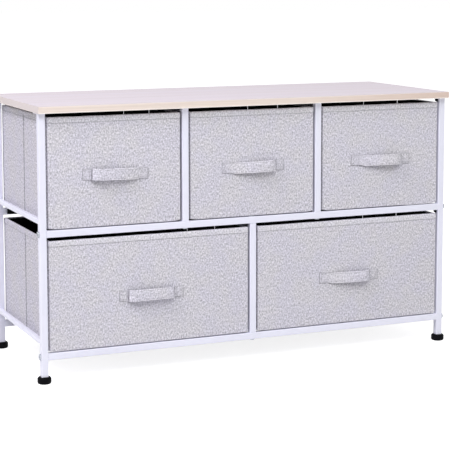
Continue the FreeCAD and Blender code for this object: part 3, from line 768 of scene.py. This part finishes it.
def cloth_relief(column, down, height, seed):
    """How far the cloth stands off, in mm, at this column and this far below the rim."""
    run, place, straight = column["run"], column["place"], column["straight"]
    relief = HEM_THICKNESS * (1 - ramp(down, HEM - 0.2, HEM + 0.9))
    relief -= STITCH_PULL * bell(down - HEM, 0.6)
    relief += PUCKER * ripple(seed, run, down, 6.5, 30) * bell(max(0, down - HEM), 14)
    relief += SLOW_WAVE * ripple(seed + 7, run, down, 80, 60)
    if column["wall"] == "corner":
        return relief
    share_down = min(1.0, max(0.0, (down - HEM) / (height - HEM)))
    share_along = place / straight
    puff = PUFF
    if column["wall"] in ("left", "right"):
        below_hem = ramp(down, HEM + 0.5, HEM + 3)
        fold = abs(place - straight / 2)
        relief -= FOLD_DEPTH * bell(fold, 1.3) * below_hem
        share_along = (2 * share_along) % 1.0 if below_hem else share_along
        puff = SIDE_PUFF
    if down > HEM:
        relief += puff * swell(share_down) * swell(share_along)
    return relief


print("relief at the hem stitches:", round(HEM_THICKNESS - STITCH_PULL, 2), "mm")

# %% [markdown]
# Shade gathers in the stitch holes and in the fold's crease, and it is put there as painted
# shade. The side walls get a little painted shade all over. The double band of the hem is painted
# paler, painted light against the shade under the board. Light alone would need deeper grooves
# than real cloth has, so each point also keeps two numbers that the cloth's finish reads.

# %% Painted seam shade and painted hem light
# painted shade in the hem's stitch line, in a side fold's crease and over the side walls, and painted light
# that makes the hem band paler
SEAM_SHADE, FOLD_SHADE, SIDE_SHADE = 0.40, 0.85, 0.03
HEM_PALLOR = 0.14


def seam_shade(column, down):
    """How much painted shade darkens the cloth here, from 0 to 1: stitch holes, folds, side walls."""
    shade = SEAM_SHADE * bell(down - HEM - 0.2, 0.8)
    if column["wall"] in ("left", "right"):
        fold = abs(column["place"] - column["straight"] / 2)
        shade = max(shade, SIDE_SHADE, FOLD_SHADE * bell(fold, 2.8) * ramp(down, 4, HEM))
    return shade


def painted_hem_light(column, down):
    """How much painted light makes the hem band of the front and rear paler, against the board's shade."""
    return HEM_PALLOR * (1 - ramp(down, HEM - 1, HEM)) if column["wall"] in ("front", "rear") else 0.0


fold_line = {"wall": "left", "place": 50.0, "straight": 100.0}
print("shade in the middle of a side fold:", seam_shade(fold_line, 60))

# %% [markdown]
# ## Sewing a drawer: from rows and columns to a mesh
#
# Both skins of a drawer, the cover outside and the lining inside, are such a grid closed by one
# face at the bottom. The UV map could be unwrapped, but Blender would choose the seams. Here it is
# laid out as the cloth was cut: along the wall and down it, in metres, so that the flecks of the
# cloth keep their real size and run round the corners. Each drawer's cloth is shifted to another
# part of the roll.

# %% Grid to mesh


def sewn_skin(name, columns, rows, point_at, finishes, roll, inward=False, strip_of=None):
    """A closed ring of cloth. point_at(column, row) gives a point in mm. strip_of(column, next
    column) picks the finish of the faces between two columns by number."""
    count = len(columns)
    points = [[point_at(column, row) for column in columns] for row in rows]
    downs = [0.0]
    for above, below in zip(points, points[1:]):
        downs.append(downs[-1] + (below[0] - above[0]).length)
    faces, places, numbers = [], [], []
    for r in range(len(rows) - 1):
        for c in range(count):
            after = (c + 1) % count
            ring = [(r, c), (r + 1, c), (r + 1, after), (r, after)]
            runs = {c: columns[c]["cut"], after: columns[after]["cut"]}
            if after == 0:
                runs[0] = columns[c]["cut"] + OUTER_CORNER * math.pi / 8
            if inward:
                ring.reverse()
            faces.append([row * count + col for row, col in ring])
            places.append([(mm(runs[col]) + roll, mm(-downs[row])) for row, col in ring])
            numbers.append(strip_of(columns[c], columns[after]) if strip_of else 0)
    last = list(range((len(rows) - 1) * count, len(rows) * count))
    if not inward:
        last.reverse()
    faces.append(last)
    places.append([(mm(points[-1][i % count].x) + roll, mm(points[-1][i % count].y)) for i in last])
    numbers.append(0)

    piece = new_piece(name, [point for line in points for point in line], faces, *finishes)
    piece.data.polygons.foreach_set("material_index", numbers)
    layer = piece.data.uv_layers.new(name="cloth")
    layer.data.foreach_set("uv", [value for face in places for place in face for value in place])
    piece.data.shade_smooth()
    return piece, points


def mark_tone(mesh, name, values):
    """Keeps one number per point on the mesh, for its finish to read."""
    mesh.attributes.new(name, "FLOAT", "POINT").data.foreach_set("value", values)


DRAWERS = []
for number, name in enumerate(("top_left", "top_middle", "top_right", "bottom_left", "bottom_right")):
    lo, hi = box_mm(name + "_cover")
    DRAWERS.append(
        {
            "name": name,
            "body": name + "_drawer",
            "lo": lo,
            "hi": hi,
            "centre": Vector(((lo[0] + hi[0]) / 2, (lo[1] + hi[1]) / 2)),
            "columns": plan_columns(lo[0], hi[0], lo[1], hi[1]),
            "seed": 11.3 + 5.7 * number,
        }
    )
    print(name, "drawer:", len(DRAWERS[-1]["columns"]), "columns")

# %% [markdown]
# ## Sewing a drawer: the rows of the cover
#
# The cover starts inside, as the turned-in hem, comes up over the rim, which waves by under a
# millimetre, and runs down outside to the underside. The bottom corners are not square: three
# layers of cloth meet there and pull the corner up by a millimetre or two. A box with a bevel and
# a subdivision would be quicker, but its rim and corners would be all alike.

# %% Rows of the cover
UNDER_TURN = 1.2
COVER_FOLD = 5.0
RIM_HALF = 1.6
CORNER_LIFT = 1.8
# rows outside, as mm below the rim: close by the rim and by the hem's stitches, wider below
HEM_ROWS = (RIM_HALF, 3, 5, 8, 10.5, 11.6, 12.2, HEM, 13.0, 13.6, 14.6, 17, 21, 27)


def cover_rows(height):
    """Each row as the part of the cover that it is on and its place there."""
    rows = [("inside", down) for down in (COVER_FOLD, 3.2, 1.6)]
    rows += [("rim", across) for across in (0.9, 0.7, 0.5, 0.3, 0.1)]
    rows += [("outside", down) for down in HEM_ROWS]
    count = round((height - 40) / 9)
    rows += [("outside", HEM_ROWS[-1] + (height - 40) * i / count) for i in range(1, count + 1)]
    rows += [("outside", height - off) for off in (8.0, 5.0, 3.5, UNDER_TURN)]
    rows += [("turn", math.radians(degrees)) for degrees in (25, 50, 75, 90)]
    rows += [("under", 0.8), ("under", 3.0)]
    return rows


def rim_wave(column, seed):
    """How far the rim sinks here, in mm."""
    return 0.45 + 0.45 * ripple(seed + 3, column["run"], 0, 60, 60)


def corner_lift(column):
    """How far the bottom edge is pulled up here, in mm."""
    return CORNER_LIFT * bell(min(column["place"], column["straight"] - column["place"]), 7)


print(len(cover_rows(240)), "rows in a cover 240 mm high")

# %% [markdown]
# Every row knows its part of the cover, and each part has its own rule for a point: inside it
# hangs on the board's inner face, on the rim it goes over in an arch, outside it follows the
# relief, and below it turns under and runs a little way in. The cover could be five meshes, but
# then it would crack where they meet.

# %% Points of the cover


def cover_point_maker(top, bottom, centre, seed):
    """The function that gives the cover's point at a column and a row."""
    height = top - bottom

    def cover_point(column, row):
        part, amount = row
        outer, inner, out = column["outer"], column["inner"], column["out"]
        wave = rim_wave(column, seed)
        if part == "inside":
            flat = inner - out * (HEM_THICKNESS - 0.1)
            return Vector((*flat, top - wave - amount))
        if part == "rim":
            flat = outer.lerp(inner, amount) + out * (HEM_THICKNESS * (1 - 2 * amount))
            drop = RIM_HALF * (1 - math.sqrt(1 - (2 * amount - 1) ** 2))
            return Vector((*flat, top - wave - drop))
        if part == "outside":
            flat = outer + out * cloth_relief(column, amount, height, seed)
            lifted = corner_lift(column) * ramp(amount, height - 14, height - UNDER_TURN)
            return Vector((*flat, top - wave * (1 - ramp(amount, 10, 60)) - amount + lifted))
        low = bottom + corner_lift(column)
        relief = cloth_relief(column, height, height, seed)
        if part == "turn":
            flat = outer + out * (relief - UNDER_TURN * (1 - math.cos(amount)))
            return Vector((*flat, low + UNDER_TURN * (1 - math.sin(amount))))
        flat = outer + out * (relief - UNDER_TURN)
        return Vector((*flat.lerp(centre, amount * 0.02), bottom + corner_lift(column) * (1 - amount / 3)))

    return cover_point


def sew_cover(drawer):
    """The cover of a drawer, and the line of points that its hem stitches follow."""
    columns, seed, top, bottom = drawer["columns"], drawer["seed"], drawer["hi"][2], drawer["lo"][2]
    point_at = cover_point_maker(top, bottom, drawer["centre"], seed)
    rows = cover_rows(top - bottom)
    cover, points = sewn_skin(drawer["name"] + "_cloth", columns, rows, point_at, [CLOTH], seed * 1.37)
    outside = [amount if part == "outside" else 0.0 for part, amount in rows]
    # painted shade and painted light, one number of each per point
    for tone, of_place in (("seam", seam_shade), ("painted_light", painted_hem_light)):
        values = [of_place(column, down) if down else 0.0 for down in outside for column in columns]
        mark_tone(cover.data, tone, values)
    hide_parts(drawer["name"] + "_cover")
    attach(cover, drawer["body"])
    return cover, points[rows.index(("outside", HEM))]


for drawer in DRAWERS:
    cover, drawer["hem_line"] = sew_cover(drawer)
    print(drawer["name"], "cover:", len(cover.data.polygons), "faces")

# %% [markdown]
# ## Thin seams of the lining
#
# In the four corners and at the side folds there is no card, only thin felt and cloth, and a
# little daylight comes through them. Light could be let through the cloth itself, but that is slow
# and noisy to render, so narrow strips of the lining get painted daylight: a paler finish with a
# faint glow.

# %% Thin seam finish


def glowing_thin_seam():
    # a pale colour that glows a little: painted daylight through the thin cloth
    finish, tree, shader = new_finish("thin_seam_painted_glow", Roughness=0.9, Emission_Strength=0.9)
    place = add(tree, "TexCoord", out="Object")
    cloud = add(tree, "TexNoise", {"Vector": place, "Scale": per_mm(3.0), "Detail": 2.0}, "Fac")
    tone = add(tree, "MapRange", {"Value": cloud, "From Min": 0.35, "From Max": 0.65}, "Result")
    colour = add(tree, "Mix", {0: tone, A: linear("#BDBDC1"), B: linear("#DEDEE2")}, **COLOURS)
    tree.links.new(colour, shader.inputs["Base Color"])
    tree.links.new(colour, shader.inputs["Emission Color"])
    return finish


THIN_SEAM_GLOW = glowing_thin_seam()
print("made", THIN_SEAM_GLOW.name)

# %% [markdown]
# ## Sewing a drawer: the lining
#
# The black felt hangs inside from under the hem and covers the floor. It could be the cover's own
# inside face, but real felt is a second skin that stands a little off the boards, so it is sewn as
# one, with fewer rows, because hardly any light gets in to show its shape.

# %% Lining
FLOOR_ABOVE_BOTTOM = 2.5
THIN_STRIP_HALF = 1.5


def lining_rows(height):
    """Each row as the part of the lining that it is on and its place there."""
    count = round((height - 20) / 14)
    rows = [("down", down) for down in (3.4, 5.0, 7.0, 9.0)]
    rows += [("down", 12.0 + (height - 20) * i / count) for i in range(count + 1)]
    rows += [("down", height - 5.0), ("down", height - 4.5)]
    rows += [("turn", math.radians(degrees)) for degrees in (30, 60, 90)]
    return rows + [("floor", 0.04)]


def thin_strip(column, after):
    """1 between columns at a corner or by a side fold, where the lining is thin, and 0 elsewhere."""
    if "corner" in (column["wall"], after["wall"]):
        return 1
    middle = (column["place"] + after["place"]) / 2 - column["straight"] / 2
    return 1 if column["wall"] in ("left", "right") and abs(middle) < THIN_STRIP_HALF else 0


def sew_lining(drawer):
    seed, top, bottom = drawer["seed"], drawer["hi"][2], drawer["lo"][2]
    floor = bottom + FLOOR_ABOVE_BOTTOM

    def lining_point(column, row):
        part, amount = row
        inner, out = column["inner"], column["out"]
        if part == "down":
            stand = 0.25 + 0.25 * ripple(seed + 19, column["run"], amount, 40, 50)
            stand += 0.6 * (1 - ramp(amount, 5, 9))
            return Vector((*(inner - out * stand), top - amount))
        if part == "turn":
            flat = inner - out * (0.25 + 1.7 * (1 - math.cos(amount)))
            return Vector((*flat, floor + 2 * (1 - math.sin(amount))))
        return Vector((*(inner - out * 1.95).lerp(drawer["centre"], amount), floor))

    lining, _ = sewn_skin(
        drawer["name"] + "_felt",
        drawer["columns"],
        lining_rows(top - bottom),
        lining_point,
        [LINING, THIN_SEAM_GLOW],
        seed * 0.7,
        inward=True,
        strip_of=thin_strip,
    )
    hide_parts(drawer["name"] + "_lining")
    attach(lining, drawer["body"])
    return lining


for drawer in DRAWERS:
    lining = sew_lining(drawer)
    print(drawer["name"], "lining:", len(lining.data.polygons), "faces")

# %% [markdown]
# ## Strap handles: their paths
#
# A handle is a folded strip of the same cloth over a stiff core, sewn flat to the front at both
# ends and cut longer than the gap, so that it stands out for the fingers. One handle could be
# copied five times, but each real one has set in its own way: some leave the panel at a sharp
# fold, some in a slow curve. The path of each is a few points in plan, from the left end to the
# right, as (along, out) in millimetres, joined by a smooth spline. A hand-sewn strap is never quite
# level, and its loose part sags and leans back.

# %% Handle paths
STRAP_LENGTH = 149.0
# how far out the middle of the strap lies where it is sewn down
SEWN_OUT = 1.2


def sharp_fold(side, fold):
    """Knots where a strap leaves the panel at a sharp fold, this far from its middle."""
    knots = [(0.1, 1.6), (0.7, 3.2), (-0.1, 5.8), (-3.3, 9.2), (-9.8, 11.8)]
    placed = [(side * (fold + along), out) for along, out in knots]
    return placed if side < 0 else placed[::-1]


def slow_curve(side):
    """Knots where a strap leaves the panel in a slow curve."""
    placed = [(side * along, out) for along, out in ((60.0, 1.3), (50.0, 2.4), (38.0, 4.6))]
    return placed if side < 0 else placed[::-1]


RIGHT_END = [(57.0, SEWN_OUT), (66.0, SEWN_OUT), (STRAP_LENGTH / 2, SEWN_OUT)]
RISING = [(-24, 7.2), (-8, 10.2), (8, 12.2), (22, 12.8), (35, 12.8)]

# Each handle: its left tip, its path between the sewn ends, its sharp folds, how far its left and
# right ends are sewn below their place, and how far its left and right halves sag
HANDLES = {
    "top_left": {
        "tip": -74.5,
        "path": sharp_fold(-1, 53.5)
        + [(-33, 12.8), (-18, 12.8), (0, 11.8), (16, 10.4), (30, 8.2)]
        + [(42.0, 5.4), (52.0, 2.8), (61.0, 1.3)],
        "folds": (-53.5,),
        "drop": (-1.4, 2.2),
        "sag": (0.6, 1.6),
    },
    "top_middle": {
        "tip": -75.5,
        "path": slow_curve(-1) + RISING + sharp_fold(1, 53.0),
        "folds": (53.0,),
        "drop": (1.4, 0.8),
        "sag": (3.4, 0.4),
    },
    "top_right": {
        "tip": -78.5,
        "path": slow_curve(-1) + RISING + sharp_fold(1, 49.5),
        "folds": (49.5,),
        "drop": (0.2, 2.2),
        "sag": (2.8, 0.6),
    },
    "bottom_left": {
        "tip": -74.5,
        "path": sharp_fold(-1, 54.0)
        + [(-33, 12.8), (-14, 12.8), (6, 12.2), (24, 11.8)]
        + sharp_fold(1, 50.5)[1:],
        "folds": (-54.0, 50.5),
        "drop": (2.2, 2.4),
        "sag": (0.8, 0.6),
    },
    "bottom_right": {
        "tip": -77.0,
        "path": slow_curve(-1) + RISING + sharp_fold(1, 50.5),
        "folds": (50.5,),
        "drop": (1.6, 3.0),
        "sag": (2.6, 0.8),
    },
}


def spline_points(knots, spacing):
    """Points along a smooth curve through the knots, about this far apart."""
    knots = [Vector(knot) for knot in knots]
    padded = [2 * knots[0] - knots[1]] + knots + [2 * knots[-1] - knots[-2]]
    points = []
    for before, start, end, after in zip(padded, padded[1:], padded[2:], padded[3:]):
        steps = max(2, math.ceil((end - start).length / spacing))
        for step in range(steps):
            t = step / steps
            bend = 3 * (start - end) - before + after
            pull = 2 * before - 5 * start + 4 * end - after
            points.append(start + 0.5 * ((end - before) * t + pull * t**2 + bend * t**3))
    return points + [knots[-1]]


print("top left handle:", len(spline_points(HANDLES["top_left"]["path"], 1.5)), "points")

# %% [markdown]
# ## Strap handles: the cross-section
#
# The strap's cross-section is a flat oblong whose long edges are rolled: the cloth is turned under
# there, so the edge is thicker, and a row of stitches beside it sinks in. A curve object could
# carry this outline along the path, but it has no UV map in metres and no shade marks, so the
# points are worked out here: the same outline all along, which sags and bulges where it is loose.

# %% Cross-section and place of a strap
STRAP_HALF = 12.6
# (distance across, height above the middle of the strap) from the bottom edge up, outer face
STRAP_FACE = [(0.0, 0.0), (0.25, 0.75), (0.9, 1.15), (1.8, 1.15), (2.5, 0.75), (2.9, 0.42), (3.3, 0.72)]
STRAP_FACE += [(5.0, 0.86), (8.0, 0.84), (11.0, 0.8)]
STRAP_BACK = -0.8
TOP_BULGE, BOTTOM_BULGE = -1.8, 0.9
# how far from its middle a strap hangs loose, and how far out it must be to bulge and to wave
LOOSE_HALF = 58
LOOSE_FROM, LOOSE_TO = 1.5, 8.0


def strap_outline():
    """(across, height) round the strap, from its bottom edge over the outer face and back."""
    lower = [(across - STRAP_HALF, high) for across, high in STRAP_FACE]
    upper = [(STRAP_HALF - across, high) for across, high in reversed(STRAP_FACE)]
    back = [(across, STRAP_BACK) for across in (STRAP_HALF, 8.0, 3.0, -3.0, -8.0, -STRAP_HALF)]
    return lower + upper + back


def strap_point(drawer, point, out, across, high):
    """A point of the strap, in mm: so far across it and so high over its middle surface."""
    style, (x, y, z) = HANDLES[drawer["name"]], drawer["handle_place"]
    edge = across / STRAP_HALF
    loose = ramp(point.y, LOOSE_FROM, LOOSE_TO)
    bulge = (TOP_BULGE * max(0, edge) ** 2 + BOTTOM_BULGE * max(0, -edge) ** 2) * loose
    flat = point + out * (high + bulge)
    share = min(1.0, max(0.0, point.x / STRAP_LENGTH + 0.5))
    sink = style["drop"][0] + (style["drop"][1] - style["drop"][0]) * share
    sag = style["sag"][0] + (style["sag"][1] - style["sag"][0]) * share
    sink += sag * ramp(LOOSE_HALF - abs(point.x), 0, 14)
    return Vector((x + flat.x, y - min(flat.y, drawer["handle_reach"]), z + across - sink))


print("points round a strap:", len(strap_outline()))

# %% [markdown]
# Painted shade darkens the strap beside the rolled edges, in the sharp folds, at the tips, under the
# box of stitches at each sewn end, along the sewn ends' edges, under the loose bottom edge and on
# the back. Painted highlights make the rolled rims paler. As on the covers, each point keeps these
# tones as two numbers for the finish, because real grooves this fine would need many more points.

# %% Tones of a strap
STITCH_INSET = 2.9
# how far from the strap's middle the two sides of the stitched box at each end are
BOX_INNER, BOX_OUTER = 58.5, 71.5


def strap_tones(drawer, point, across, on_face):
    """How much painted shade and how much painted highlight the strap has here: (shade, light)."""
    style = HANDLES[drawer["name"]]
    edge = STRAP_HALF - abs(across)
    # painted shade in a fold's crease, seen beside the standing cloth: the right one shows from its far
    # side
    crease = min(abs(point.x - fold - (2.6 if fold > 0 else 0.0)) for fold in style["folds"])
    # painted shade in the stitch rows beside the rolled edges
    seam = 0.08 * bell(edge - STITCH_INSET, 0.6)
    seam = max(seam, 0.65 * bell(crease, 1.1) * (point.y < 7))
    # painted shade at the tips and under the box of stitches
    tip = min(point.x - style["tip"], STRAP_LENGTH / 2 - point.x)
    seam = max(seam, 0.60 * bell(tip, 1.1), 0.15 * bell(tip - 6.0, 0.9))
    seam = max(seam, 0.12 * bell(abs(point.x) - BOX_INNER, 1.0))
    # painted shade: a contact shadow along the sewn ends' edges, and under the loose bottom edge
    if point.y < 3:
        seam = max(seam, (0.85 if across < 0 else 0.40) * bell(edge, 1.2))
    elif across < 0 and edge < 0.5:
        seam = 0.8
    # painted highlight on the rolled rims
    painted_light = 0.16 * bell(edge - 1.9, 0.9)
    # the strap's back gets painted shade
    return (seam, painted_light) if on_face else (0.5, 0.0)


print("a box of stitches is", BOX_OUTER - BOX_INNER, "mm long")

# %% [markdown]
# ## Strap handles: sewing them on
#
# The outline is carried along the path and closed at both ends. The UV map runs along the strap,
# because the strap was cut along the cloth. A strap of even thickness looks like plastic, so a slow
# wave of 0.2 mm runs over its loose part.

# %% Strap handles


def handle_frames(path):
    """Each path point with its direction along and its direction out of the strap."""
    frames = []
    for i, point in enumerate(path):
        ahead, behind = path[min(i + 1, len(path) - 1)], path[max(i - 1, 0)]
        along = (ahead - behind).normalized()
        frames.append((point, along, Vector((-along.y, along.x))))
    return frames


def make_handle(drawer):
    name = drawer["name"]
    lo, hi = box_mm(name + "_handle")
    drawer["handle_place"] = ((lo[0] + hi[0]) / 2, hi[1], (lo[2] + hi[2]) / 2)
    drawer["handle_reach"] = hi[1] - lo[1] - 0.1
    left_end = [(HANDLES[name]["tip"], SEWN_OUT), (-66.0, SEWN_OUT), (-57.0, SEWN_OUT)]
    path = spline_points(left_end + HANDLES[name]["path"] + RIGHT_END, 1.2)
    outline = strap_outline()
    points, places, tones, travelled = [], [], [], 0.0
    drawer["handle_frames"] = handle_frames(path)
    for i, (point, along, out) in enumerate(drawer["handle_frames"]):
        if i:
            travelled += (point - path[i - 1]).length
        for across, high in outline:
            wave = 0.2 * ramp(point.y, LOOSE_FROM, LOOSE_TO)
            wave *= noise.noise(Vector((travelled / 14, across / 14, drawer["seed"])))
            points.append(strap_point(drawer, point, out, across, high + wave))
            places.append((mm(travelled) + drawer["seed"], mm(across)))
            tones.append(strap_tones(drawer, point, across, high > STRAP_BACK))
    ring = len(outline)
    faces = []
    for i in range(len(path) - 1):
        for j in range(ring):
            k = (j + 1) % ring
            faces.append((i * ring + j, (i + 1) * ring + j, (i + 1) * ring + k, i * ring + k))
    faces.append(tuple(range(ring)))
    faces.append(tuple(reversed(range((len(path) - 1) * ring, len(path) * ring))))
    strap = new_piece(name + "_strap", points, faces, CLOTH)
    layer = strap.data.uv_layers.new(name="cloth")
    layer.data.foreach_set("uv", [value for face in faces for i in face for value in places[i]])
    mark_tone(strap.data, "seam", [seam for seam, painted_light in tones])
    mark_tone(strap.data, "painted_light", [painted_light for seam, painted_light in tones])
    strap.data.shade_smooth()
    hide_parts(name + "_handle")
    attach(strap, drawer["body"])
    return strap


for drawer in DRAWERS:
    strap = make_handle(drawer)
    print(drawer["name"], "strap:", len(strap.data.polygons), "faces")

# %% [markdown]
# ## Stitches
#
# Grey polyester thread, about 4 mm from hole to hole. Stitches could be painted on, but a dark
# dash has no thickness when it is seen close up. So a stitch is a short arched sausage whose ends
# dip into the cloth, with few sides, because it is half a millimetre thick.

# %% One stitch and one row
STITCH, PITCH, THREAD_RADIUS = 2.9, 3.9, 0.28
THREAD_SIDES = 5
# each ring of a stitch: its share of the length, its share of the thickness, its height in mm
STITCH_RINGS = ((-0.5, 0.35, -0.25), (-0.25, 1, 0.1), (0.25, 1, 0.1), (0.5, 0.35, -0.25))
FACES_PER_STITCH = THREAD_SIDES * (len(STITCH_RINGS) - 1) + 2


def add_stitch(points, faces, middle, along, out):
    """Adds one stitch, centred at middle, in mm."""
    side = along.cross(out)
    first = len(points)
    for share, thick, high in STITCH_RINGS:
        for corner in range(THREAD_SIDES):
            angle = math.tau * corner / THREAD_SIDES
            spoke = (out * math.cos(angle) + side * math.sin(angle)) * THREAD_RADIUS * thick
            points.append(middle + along * STITCH * share + out * high + spoke)
    last = len(points) - THREAD_SIDES
    for a in range(first, last, THREAD_SIDES):
        b = a + THREAD_SIDES
        for corner in range(THREAD_SIDES):
            after = (corner + 1) % THREAD_SIDES
            faces.append((a + corner, b + corner, b + after, a + after))
    faces.append(tuple(first + corner for corner in range(THREAD_SIDES)))
    faces.append(tuple(last + corner for corner in reversed(range(THREAD_SIDES))))


def stitch_row(points, faces, line, outs, closed=False):
    """Stitches along a line of points, each with its outward direction."""
    line = line + [line[0]] if closed else line
    outs = outs + [outs[0]] if closed else outs
    next_stitch, travelled = PITCH / 2, 0.0
    for start, end, out in zip(line, line[1:], outs):
        length = (end - start).length
        while length and travelled + length >= next_stitch:
            middle = start.lerp(end, (next_stitch - travelled) / length)
            add_stitch(points, faces, middle, (end - start) / length, out)
            next_stitch += PITCH
        travelled += length


print(FACES_PER_STITCH, "faces in a stitch")

# %% [markdown]
# The hem has one row all round, and a handle has one row beside each rolled edge, with a box of
# stitches on each sewn end. The rows follow the points of the cover and of the strap, so that the
# thread lies on the cloth. All stitches of a drawer are one piece, because hundreds of small
# objects are slow to handle.

# %% Stitches


def sew_stitches(drawer):
    points, faces = [], []
    outs = [Vector((*column["out"], 0)) for column in drawer["columns"]]
    stitch_row(points, faces, drawer["hem_line"], outs, closed=True)
    for across in (STRAP_HALF - STITCH_INSET, STITCH_INSET - STRAP_HALF):
        line, outs = [], []
        for point, along, out in drawer["handle_frames"]:
            line.append(strap_point(drawer, point, out, across, 0.55))
            outs.append(Vector((out.x, -out.y, 0)))
        stitch_row(points, faces, line, outs)
    proud = Vector((0, 1))
    for along in (-BOX_OUTER, -BOX_INNER, BOX_INNER, BOX_OUTER):
        sewn = Vector((along, SEWN_OUT))
        ends = [strap_point(drawer, sewn, proud, across, 0.85) for across in (-9.5, 9.5)]
        stitch_row(points, faces, ends, [Vector((0, -1, 0))] * 2)
    stitches = new_piece(drawer["name"] + "_stitches", points, faces, THREAD)
    stitches.data.shade_smooth()
    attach(stitches, drawer["body"])
    return stitches


for drawer in DRAWERS:
    stitches = sew_stitches(drawer)
    print(drawer["name"], "stitches:", len(stitches.data.polygons) // FACES_PER_STITCH)
